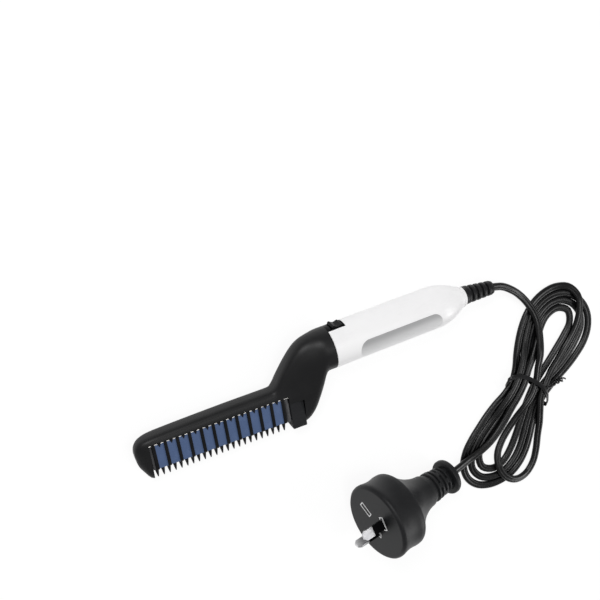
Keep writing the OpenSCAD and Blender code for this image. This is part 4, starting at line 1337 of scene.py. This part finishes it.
@dataclass
class ToothGuard:
    """Black comb: ribs round the heater, roots between them, two rails and the teeth."""

    teeth: int = 23
    pitch: float = 3.8
    first_x: float = 11.2
    rib_half: float = 1.0
    foot: float = 0.5
    foot_half: float = 3.6
    root_len: float = 2.1
    root_tip: float = 0.12
    plate_bottom_y: float = -33.8
    plate_top_w: float = 6.2
    plate_bottom_w: float = 5.4
    proud: float = 0.8
    rail_half: float = 2.2
    rail_h: float = 1.5
    rail_lead: float = 2.65
    upper_rail: Pair = (1.0, 1.3)
    tip_y: float = -42.15
    end_x: float = 99.05
    tooth_rings: tuple[Triple, ...] = ((0, 1.5, 2.1), (0.25, 1.3, 1.75), (0.6, 0.88, 1.15),
                                       (0.86, 0.52, 0.65), (0.96, 0.34, 0.45), (1.0, 0.15, 0.2))
    tooth_sides: int = 12

    def rib(self) -> Piece:
        """Rib round both plates, about x = 0.

        Returns:
            The rib, in the row's frame.
        """
        top, low = PLACES.seam_y - FIT, self.plate_bottom_y
        outer = [(top, self.plate_top_w + self.proud), (low, self.plate_bottom_w + self.proud),
                 (low - self.rail_h - 1, self.rail_half)]
        inner = [(low - FIT, self.plate_bottom_w + FIT),
                 (top - self.foot, self.plate_top_w + FIT), (top - self.foot, self.foot_half),
                 (top, self.foot_half)]
        loop = outer + [(y, -z) for y, z in reversed(outer)]
        loop += [(y, -z) for y, z in reversed(inner)] + inner
        piece = Piece.outline([(-self.rib_half, y, z) for y, z in loop])
        with Editing(piece.obj):
            bpy.ops.mesh.extrude_region_move(
                TRANSFORM_OT_translate={"value": (2 * self.rib_half, 0, 0)})
        return piece.outward().soften(0.34, angle=25)

    def root(self, side: int) -> Piece:
        """Pointed root over the top edge of a plate, about x = 0, with its foot.

        Args:
            side: 1 for the left and -1 for the right.

        Returns:
            The root, in the row's frame.
        """
        top = PLACES.seam_y - FIT
        low = top - self.foot
        tip = low - self.root_len
        corners = [(-self.rib_half, top), (-self.rib_half, low), (-self.root_tip, tip),
                   (self.root_tip, tip), (self.rib_half, low), (self.rib_half, top)]
        side_w = self.plate_top_w
        near, far = sorted((side * (side_w + FIT), side * (side_w + self.proud)))
        root = Piece.prism(corners, near, far).soften(0.2, angle=25)
        near, far = sorted((side * self.foot_half, side * (side_w + self.proud / 2)))
        foot = Piece.box((-self.rib_half, low, near), (self.rib_half, top, far))
        return root.combine(foot, "UNION")

    def tooth(self) -> Piece:
        """Tapered tooth with a rounded tip, about x = 0.

        Returns:
            The tooth, in the row's frame.
        """
        root = self.plate_bottom_y - self.rail_h + 0.6
        reach = root - self.tip_y
        angles = [math.tau * i / self.tooth_sides for i in range(self.tooth_sides)]
        return Piece.skin([[(half_x * math.cos(angle), root - reach * share,
                             half_z * math.sin(angle)) for angle in angles]
                           for share, half_x, half_z in self.tooth_rings])

    def rails(self) -> list[Piece]:
        """Lower rail that carries the teeth and the two upper rails in the head.

        Returns:
            The three rails, in the row's frame.
        """
        start = self.first_x - self.rail_lead
        low, y = self.plate_bottom_y - FIT, PLACES.seam_y - self.foot - FIT
        result = [Piece.box((start, low - self.rail_h, -self.rail_half),
                            (self.end_x, low, self.rail_half)).soften(0.4)]
        wide, high = self.upper_rail
        for side in (1, -1):
            near, far = sorted((side * self.foot_half, side * (self.foot_half + wide)))
            result.append(Piece.box((start, y, near), (self.end_x, y + high, far)).soften(0.15))
        return result

    def build(self) -> None:
        """Makes the comb as one piece."""
        parts = self.rails()
        rib, tooth = self.rib(), self.tooth()
        roots = [self.root(1), self.root(-1)]
        for i in range(self.teeth):
            offset = (self.first_x + i * self.pitch, 0, 0)
            parts.append(tooth.copy().moved(offset))
            if i % 2 == 0:
                parts.append(rib.copy().moved(offset))
            else:
                parts.extend(root.copy().moved(offset) for root in roots)
        for pattern in (rib, tooth, *roots):
            bpy.data.objects.remove(pattern.obj)
        piece = parts[0].join(parts[1:]).put(PLACES.row())
        piece.done("tooth_guard", Finish.COMB.material(), "comb_black",
                   instead_of=("comb_guard",))


# ---------------------------------------------------------------- grip


@dataclass
class Grip:
    """White grip of two shells with bosses for the screws, with the ring on its tail and the
    label.
    """

    shoulder_x: float = 205.0
    ring_x: float = 228.2
    tail_x: float = 230.6
    radius: float = PLACES.grip_r
    bore: float = 12.0
    wall: float = 1.8
    rim: float = 0.3
    tail_r: float = 6.3
    ring_gap: float = 0.12
    ring_bore: float = 5.25
    tail_bore: float = 5.2
    tail_bore_end: Table = ((227.6, 4.55), (227.6, 5.75))
    boss_r: float = 3.0
    boss_reach: float = 10.9
    seat_r: float = 2.25
    pilot_r: float = 1.2
    pilot_end: float = 8.5
    saddle: tuple[Triple, Triple] = ((211, -7.6, -8.4), (216, 7.6, -1.7))
    switch_slot: tuple[Triple, Triple] = ((131, 3, -5.15), (144.67, 25, 5.15))
    label_x: float = 177.85
    label_len: float = 58.0
    label_w: float = 14.0
    label_turn: float = 18.0
    label_t: float = 0.3
    label_play: float = 0.16
    shoulder: Table = ((200, 13.8), (205, 13.8), (209, 13.69), (213, 13.16), (217, 12.1),
                       (220, 10.97), (223, 9.55), (225, 8.4), (226.6, 7.5), (227.7, 7.12),
                       (228.2, 7.05), (229.4, 6.75), (230.6, 6.3))

    def surface(self, x: float) -> float:
        """Outer radius at x."""
        return smooth_table(self.shoulder, min(x, self.tail_x))

    def profile(self) -> list[Pair]:
        """Closed outline of the shells' wall.

        Returns:
            Places along the grip and radii.
        """
        start, rim, steps = PLACES.collar_x + FIT, self.rim, 22
        span = self.ring_x - self.shoulder_x
        round_x = [self.shoulder_x + span * i / steps for i in range(steps)]
        end_r = self.surface(self.ring_x)
        outer = [(start, self.radius - rim), (start + rim, self.radius)]
        outer += [(x, self.surface(x)) for x in round_x]
        outer += [(self.ring_x - 0.35, end_r + 0.12), (self.ring_x, end_r - 0.25)]
        tail = [(self.ring_x, self.tail_bore), (self.tail_x, self.tail_bore),
                (self.tail_x, self.tail_bore_end[0][1]), *self.tail_bore_end]
        inner = [(x, self.surface(x) - self.wall) for x in reversed(round_x)
                 if x < self.ring_x - 2]
        return outer + tail + inner + [(start, self.bore)]

    def plate(self, length: float, width: float, low: float, high: float) -> Piece:
        """Curved plate with rounded corners, on the grip's round.

        Args:
            length: Its length along the grip.
            width: Its width round the grip.
            low: Radius of its underside.
            high: Radius of its face.

        Returns:
            The plate, in the comb's frame.
        """
        corner, sides, spans = width * 0.45, 32, 14
        points = []
        for i in range(sides):
            angle = math.tau * (i + 0.5) / sides
            x = math.copysign(length / 2 - corner, math.cos(angle)) + corner * math.cos(angle)
            y = math.copysign(width / 2 - corner, math.sin(angle)) + corner * math.sin(angle)
            points.append((x, y))
        piece = Piece.prism(points, low, high)
        for i in range(1, spans):
            piece.cut_flat((0, width * (i / spans - 0.5), 0), (0, 1, 0))

        def wrap(p: Vector) -> Vector:
            """Bends the plate round the grip's axis."""
            angle = p.y / self.radius
            return Vector((p.x + self.label_x, p.z * math.sin(angle), p.z * math.cos(angle)))

        return piece.reshape(wrap).put(spin(self.label_turn, "X"))

    def shell(self, side: int) -> Piece:
        """Makes one half.

        Args:
            side: 1 for the left and -1 for the right.

        Returns:
            The shell, in the comb's frame.
        """
        half = Piece.turned(self.profile(), 56, 180, 0 if side > 0 else 180)
        for x, y in PLACES.grip_screws:
            boss = Piece.rod((x, y, 0), (x, y, side * self.boss_reach), self.boss_r)
            half.combine(boss, "UNION")
        if side < 0:
            half.combine(Piece.box(*self.saddle), "UNION")
        half.combine(Piece.box(*self.switch_slot))
        for x, y in PLACES.grip_screws:
            half.combine(Piece.rod((x, y, -20), (x, y, self.pilot_end), self.pilot_r))
            if side < 0:
                seat = Piece.rod((x, y, -20), (x, y, -PLACES.grip_seat), self.seat_r)
                half.combine(seat)
        if side > 0:
            half.combine(self.plate(self.label_len + self.label_play,
                                    self.label_w + self.label_play,
                                    self.radius - self.label_t, self.radius + 1))
        return half.soften(0.14, angle=38)

    def label(self) -> None:
        """Makes the bare label in its recess."""
        piece = self.plate(self.label_len, self.label_w, self.radius - self.label_t + 0.02,
                           self.radius + 0.01)
        piece.soften(0.08, angle=50).put(PLACES.comb())
        piece.done("label_plate", Finish.LABEL.material(), "label_grey",
                   instead_of=("rating_label",))

    def ring(self) -> None:
        """Makes the separate ring on the tail."""
        near = self.ring_x + self.ring_gap
        r0, r1 = self.surface(near), self.tail_r
        piece = Piece.turned([(near, self.ring_bore), (near, r0 - 0.3),
                              (near + 0.3, r0 - 0.02), (self.tail_x - 0.35, r1 + 0.06),
                              (self.tail_x, r1 - 0.3), (self.tail_x, self.ring_bore)], 72)
        piece.put(PLACES.comb()).done("tail_collar", Finish.GRIP.material(), "grip_white",
                                      instead_of=("tail_ring",))

    def build(self) -> None:
        """Makes the grip."""
        for side, name in ((1, "left"), (-1, "right")):
            piece = self.shell(side).put(PLACES.comb())
            piece.done(f"grip_half_{name}", Finish.GRIP.material(), "grip_white",
                       instead_of=(f"handle_shell_{name}",))
        self.label()
        self.ring()


@dataclass
class Screws:
    """Pan-head screws with a cross recess, in the head and in the grip."""

    shank_r: float = 1.1
    head_r: float = 2.1
    head_h: float = 1.4
    head_bite: float = 5.0
    grip_bite: float = 7.0
    cross: Pair = (1.3, 0.28)
    cross_depth: float = 0.8

    def screw(self, seat: float, bite: float) -> Piece:
        """Screw from its seat inwards, about the Z axis.

        Args:
            seat: Depth of the head's underside.
            bite: Depth of the tip, on the other side.

        Returns:
            The screw, about the Z axis.
        """
        top = -seat - self.head_h
        profile = [(top, 0.0), (top, self.head_r * 0.6),
                   (-seat - self.head_h * 0.7, self.head_r * 0.9), (-seat, self.head_r),
                   (-seat, self.shank_r), (bite - 1.2, self.shank_r), (bite, 0.15), (bite, 0.0)]
        piece = Piece.turned(profile, 28).put(spin(-90, "Y"))
        for half_x, half_y in (self.cross, self.cross[::-1]):
            piece.combine(Piece.box((-half_x, -half_y, top - 1),
                                    (half_x, half_y, top + self.cross_depth)))
        return piece.soften(0.06, segments=1, angle=40)

    def build(self) -> None:
        """Makes both pairs."""
        for name, node, places, seat, bite in (
                ("head_fasteners", "head_screws", PLACES.head_screws, PLACES.head_seat,
                 self.head_bite),
                ("grip_fasteners", "handle_screws", PLACES.grip_screws, PLACES.grip_seat,
                 self.grip_bite)):
            pattern = self.screw(seat, bite)
            screws = [pattern.copy().moved((x, y, 0)) for x, y in places]
            bpy.data.objects.remove(pattern.obj)
            piece = screws[0].join(screws[1:]).put(PLACES.comb())
            piece.done(name, Finish.STEEL.material(), "screw_steel", instead_of=(node,))


# ---------------------------------------------------------------- switch and strain relief


@dataclass
class Switch:
    """Black housing in the grip's collar end, and the rocker on its pin."""

    start_x: float = 132.72
    end_x: float = 144.62
    half_w: float = 5.1
    low_y: float = 5.2
    high_y: float = 16.0
    skin_r: float = 13.75
    skin_x: Pair = (130.0, 150.0)
    well: tuple[Triple, Triple] = ((135.33, 6.2, -4.55), (144.07, 20, 4.55))
    terminals: Pair = (136.9, 139.7)
    terminal_half: Pair = (0.45, 1.25)
    pin_r: float = 0.8
    pin_play: float = 0.06
    rocker_half: float = 3.8
    rocker_half_w: float = 4.4
    crown: float = 3.3
    dish: float = 1.1
    skirt: float = 1.0
    bridge_half: float = 3.2
    bridge_y: float = 2.2

    def housing(self) -> None:
        """Makes the housing."""
        piece = Piece.box((self.start_x, self.low_y, -self.half_w),
                          (self.end_x, self.high_y, self.half_w))
        start, end = self.skin_x
        skin = [(start, 0), (end, 0), (end, self.skin_r), (start, self.skin_r)]
        piece.combine(Piece.turned(skin, 128), "INTERSECT")
        piece.combine(Piece.box(*self.well))
        thick, wide = self.terminal_half
        for x in self.terminals:
            piece.combine(Piece.box((x - thick, 2, -wide), (x + thick, 8, wide)))
        pin = (PLACES.rocker_x, PLACES.rocker_y)
        piece.combine(Piece.rod((*pin, -8), (*pin, 8), self.pin_r))
        piece.soften(0.16, angle=40).put(PLACES.comb())
        piece.done("switch_case", Finish.SWITCH.material(), "switch_black",
                   instead_of=("switch_housing",))

    def rocker(self) -> None:
        """Makes the rocker with its dished top, on the moving body."""
        half = self.rocker_half
        rise = [(half, 1.7), (half - 0.06, 2.35), (half - 0.3, 2.9), (half - 0.75, 3.22),
                (half - 1.25, self.crown - 0.06), (half - 1.8, 3.02), (half - 2.5, 2.6)]
        corners = [(-x, y) for x, y in rise] + [(0, self.crown - self.dish)] + rise[::-1]
        corners += [(half, -self.skirt), (self.bridge_half, -self.bridge_y),
                    (-self.bridge_half, -self.bridge_y), (-half, -self.skirt)]
        piece = Piece.prism(corners, -self.rocker_half_w, self.rocker_half_w)
        piece.soften(0.4, segments=3, angle=50)
        piece.combine(Piece.rod((0, 0, -8), (0, 0, 8), self.pin_r + self.pin_play))
        piece.put(PLACES.rocker())
        piece.done("rocker_key", Finish.SWITCH.material(), "switch_black", Body.ROCKER,
                   instead_of=("rocker",))

    def build(self) -> None:
        """Makes the switch."""
        self.housing()
        self.rocker()


@dataclass
class StrainRelief:
    """Ribbed flexible sleeve that is held in the grip's tail and bends with the cord."""

    collar_x: float = 230.65
    bend_x: float = 232.2
    bend: float = 4.5
    end_x: float = 252.1
    base_r: float = 6.2
    end_r: float = 4.7
    bore: float = 2.66
    ribs: int = 5
    groove: float = 1.35
    taper_x: float = 230.6
    flange: Table = ((225.3, 5.3), (225.6, 5.6), (227.2, 5.6), (227.5, 5.3), (227.5, 4.45))
    rib: Table = ((0.0, 0.12), (0.12, 0.0), (0.46, 0.0), (0.58, 0.16), (0.64, 0.5), (0.68, 1.0),
                  (0.9, 1.0), (0.95, 0.5))

    def radius(self, x: float) -> float:
        """Radius over the ribs at x."""
        share = (x - self.taper_x) / (self.end_x - self.taper_x)
        return self.base_r + (self.end_r - self.base_r) * share

    def profile(self) -> list[Pair]:
        """Closed outline with the flange, the collar and the rounded ribs.

        Returns:
            Places along the sleeve and radii.
        """
        start, neck = self.flange[0][0], self.flange[-1][1]
        points = [(start, self.bore), *self.flange, (self.collar_x, neck),
                  (self.collar_x, self.base_r - 0.25), (self.collar_x + 0.25, self.base_r)]
        first = self.bend_x - 0.2
        pitch = (self.end_x - first) / self.ribs
        for i in range(self.ribs):
            for share, depth in self.rib:
                x = first + pitch * (i + share)
                if i == self.ribs - 1 and share > 0.6:
                    depth = 0.0 if share < 0.9 else 0.3
                points.append((x, self.radius(x) - self.groove * depth))
        points[-1] = (self.end_x, points[-1][1])
        return points + [(self.end_x, self.bore + 0.15)]

    def build(self) -> None:
        """Makes the strain relief."""
        bent = about(self.bend_x, -self.bend)
        piece = Piece.turned(self.profile(), 64)
        piece.reshape(lambda p: bent @ p if p.x > self.bend_x - 0.25 else p).put(PLACES.comb())
        piece.done("cord_sleeve", Finish.RELIEF.material(), "relief_black",
                   instead_of=("strain_relief",), smooth=40)


# ---------------------------------------------------------------- plug


@dataclass
class Plug:
    """Moulded plug: drum, ribbed neck and round tail flange."""

    lobe_r: float = 25.42
    lobe_y: float = 17.0
    waist_y: float = 44.0
    waist_r: float = 10.9
    neck_r: float = 9.0
    length: float = 67.0
    flange: float = 4.5
    flange_r: float = 12.0
    ribs: int = 4
    rib_pitch: float = 3.6
    rib_growth: float = 0.42
    pin_r: float = 7.92
    pin_turns: Pair = (30, 150)
    slot_reach: Pair = (0.82, 3.2)
    slot_depth: float = 17.0
    bridges_round: int = 4
    bridge_in: float = 2.5
    bridge_under: float = 0.12
    bridge_w: float = 1.6
    mark_line: float = 0.6
    outline_depth: float = 0.25
    # outlines as angle, radius and half sizes: the two round the pins are painted highlights, the
    # one at -90 degrees a moulded mark
    outlines_at: tuple[tuple[float, float, float, float], ...] = (
        (30, 7.92, 1.8, 4.7), (150, 7.92, 1.8, 4.7), (-90, 10.8, 5.0, 2.0))

    def profile(self) -> list[Pair]:
        """Closed outline from the tail to the face, as height and radius.

        Returns:
            Heights under the face and radii.
        """
        end = self.length
        neck = end - self.flange
        points = [(-end, 0.0), (-end, self.flange_r - 1.4), (-end + 0.5, self.flange_r - 0.4),
                  (-end + 1.4, self.flange_r), (-neck - 1.4, self.flange_r),
                  (-neck - 0.5, self.flange_r - 0.4), (-neck, self.flange_r - 1.4),
                  (-neck + 0.1, self.neck_r - 1.1)]
        for i in range(self.ribs):
            base = neck - 1.2 - i * self.rib_pitch
            r = self.neck_r + i * self.rib_growth
            points += [(-base - 0.2, r - 1.1), (-base + 0.2, r - 0.3), (-base + 0.7, r),
                       (-base + 1.7, r + 0.05), (-base + 2.1, r - 0.25), (-base + 2.4, r - 1.1)]
        points += [(-self.waist_y, self.waist_r), (-42.0, 11.15), (-39.5, 11.65), (-37.0, 12.4),
                   (-34.5, 13.4), (-32.0, 14.6), (-29.5, 16.1), (-27.0, 17.9), (-24.8, 19.7),
                   (-22.8, 21.6), (-21.2, 23.3), (-20.3, 24.35), (-19.6, 24.95),
                   (-18.8, 25.3), (-self.lobe_y, self.lobe_r), (-15.6, self.lobe_r)]
        points += [(-14.0, self.lobe_r - 0.3), (-11.0, 24.95), (-8.0, 25.1), (-5.5, 25.5),
                   (-3.6, 25.9), (-2.2, 25.95), (-1.2, 25.7), (-0.35, 24.9), (0.0, 24.2),
                   (0.0, 23.6), (0.0, 0.0)]
        return points

    def body(self) -> None:
        """Makes the moulded body."""
        piece = Piece.turned(self.profile(), 96).put(spin(-90, "Y"))
        thick, wide = self.slot_reach
        for angle in self.pin_turns:
            slot = Piece.box((self.pin_r - thick, -wide, -self.slot_depth),
                             (self.pin_r + thick, wide, 1))
            piece.combine(slot.put(spin(angle, "Z")))
        self.bridges(piece)
        for outline_cutter in self.mark_and_highlight_outlines(1.0):
            piece.combine(outline_cutter)
        piece.soften(0.12, angle=45).put(PLACES.plug())
        piece.done("plug_moulding", Finish.PLUG.material(), "plug_black",
                   instead_of=("plug_body",), smooth=38)

    def bridges(self, piece: Piece) -> None:
        """Joins the neck's ribs with short bars that alternate round it.

        Args:
            piece: The body.
        """
        neck = self.length - self.flange
        for i in range(self.ribs):
            base = neck - i * self.rib_pitch
            r = self.neck_r + i * self.rib_growth
            for k in range(self.bridges_round):
                bar = Piece.box((r - self.bridge_in, -self.bridge_w, -base),
                                (r - self.bridge_under, self.bridge_w, -base + self.bridge_w))
                piece.combine(bar.put(spin(k * 90 + 45 * (i % 2) + 22, "Z")), "UNION")

    def mark_and_highlight_outlines(self, top: float) -> list[Piece]:
        """Outlines at the earth place, a moulded mark, and round both pins, where they are painted
        highlights on the pins' bases.

        Args:
            top: Height of their upper side over the face.

        Returns:
            The outlines, in the plug's frame.
        """
        result = []
        line = self.mark_line
        for angle, radius, half_x, half_y in self.outlines_at:
            outline = Piece.box((radius - half_x, -half_y, -self.outline_depth),
                                (radius + half_x, half_y, top))
            outline.combine(Piece.box((radius - half_x + line, -half_y + line, -1),
                                      (radius + half_x - line, half_y - line, 2)))
            result.append(outline.put(spin(angle, "Z")))
        return result

    def build(self) -> None:
        """Makes the plug with the white outlines on its face: painted highlights round the pins
        and a moulded mark at the earth place.
        """
        self.body()
        outlines = self.mark_and_highlight_outlines(0.05)
        piece = outlines[0].join(outlines[1:]).put(PLACES.plug())
        piece.done("face_mark_and_pin_highlights", Finish.MARK.material(), "grip_white")


# ---------------------------------------------------------------- pieces that keep their shape


@dataclass
class Carried:
    """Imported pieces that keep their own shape: softened edges and a finish for each."""

    finishes: tuple[tuple[str, Finish, float], ...] = (
        ("heater_plate_left", Finish.PLATE, 0.25), ("heater_plate_right", Finish.PLATE, 0.25),
        ("plate_trim_left", Finish.TRIM, 0.08), ("plate_trim_right", Finish.TRIM, 0.08),
        ("nose_spacer", Finish.SPACER, 0.25), ("heel_spacer", Finish.SPACER, 0.2),
        ("heel_block", Finish.BLOCK, 0.7), ("heater_block", Finish.HEATER, 0.2),
        ("ptc_element", Finish.CERAMIC, 0.1), ("electrode_strips", Finish.BRASS, 0.05),
        ("insulation_film", Finish.FILM, 0.05), ("thermal_fuse", Finish.FUSE, 0.1),
        ("live_core", Finish.BROWN, 0.0), ("switched_lead", Finish.BROWN, 0.0),
        ("neutral_core", Finish.BLUE, 0.0), ("cord_clamp", Finish.GRIP, 0.2),
        ("clamp_screws", Finish.STEEL, 0.1), ("switch_terminals", Finish.BRASS, 0.08),
        ("rocker_pin", Finish.STEEL, 0.08), ("contact_bridge", Finish.BRASS, 0.06),
        ("inner_cord", Finish.RELIEF, 0.4), ("live_pin", Finish.PIN, 0.14),
        ("neutral_pin", Finish.PIN, 0.14), ("pin_sleeves", Finish.SWITCH, 0.1),
    )

    def build(self) -> None:
        """Dresses each piece."""
        for name, finish, edge in self.finishes:
            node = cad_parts[name]
            node.data.materials.clear()
            node.data.materials.append(finish.material())
            Piece(node).pick()
            bpy.ops.object.modifier_add(type="WELD")
            node.modifiers[-1].merge_threshold = 1e-6
            if edge:
                bpy.ops.object.modifier_add(type="BEVEL")
                bevel = node.modifiers[-1]
                bevel.width, bevel.segments = edge * MM, 2
                bevel.limit_method, bevel.angle_limit = "ANGLE", math.radians(35)
            LOG.info("%s: dressed as %s", name, finish.value.name)


def main() -> None:
    """Builds the camera and the cord first, then every piece of the part."""
    logging.basicConfig(level=logging.INFO, format="%(name)s: %(message)s")
    bpy.ops.object.select_all(action="DESELECT")
    studio = Studio()
    studio.camera()
    tie = TwistTie().build()
    plug_pieces = [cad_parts[name] for name in ("live_pin", "neutral_pin", "pin_sleeves")]
    Plug().build()
    Cord().build([bpy.data.objects["plug_moulding"], tie, *plug_pieces])
    for part in (Head(), ToothGuard(), Grip(), Screws(), Switch(), StrainRelief(), Carried()):
        part.build()
    studio.build()


if __name__ == "__main__":
    main()
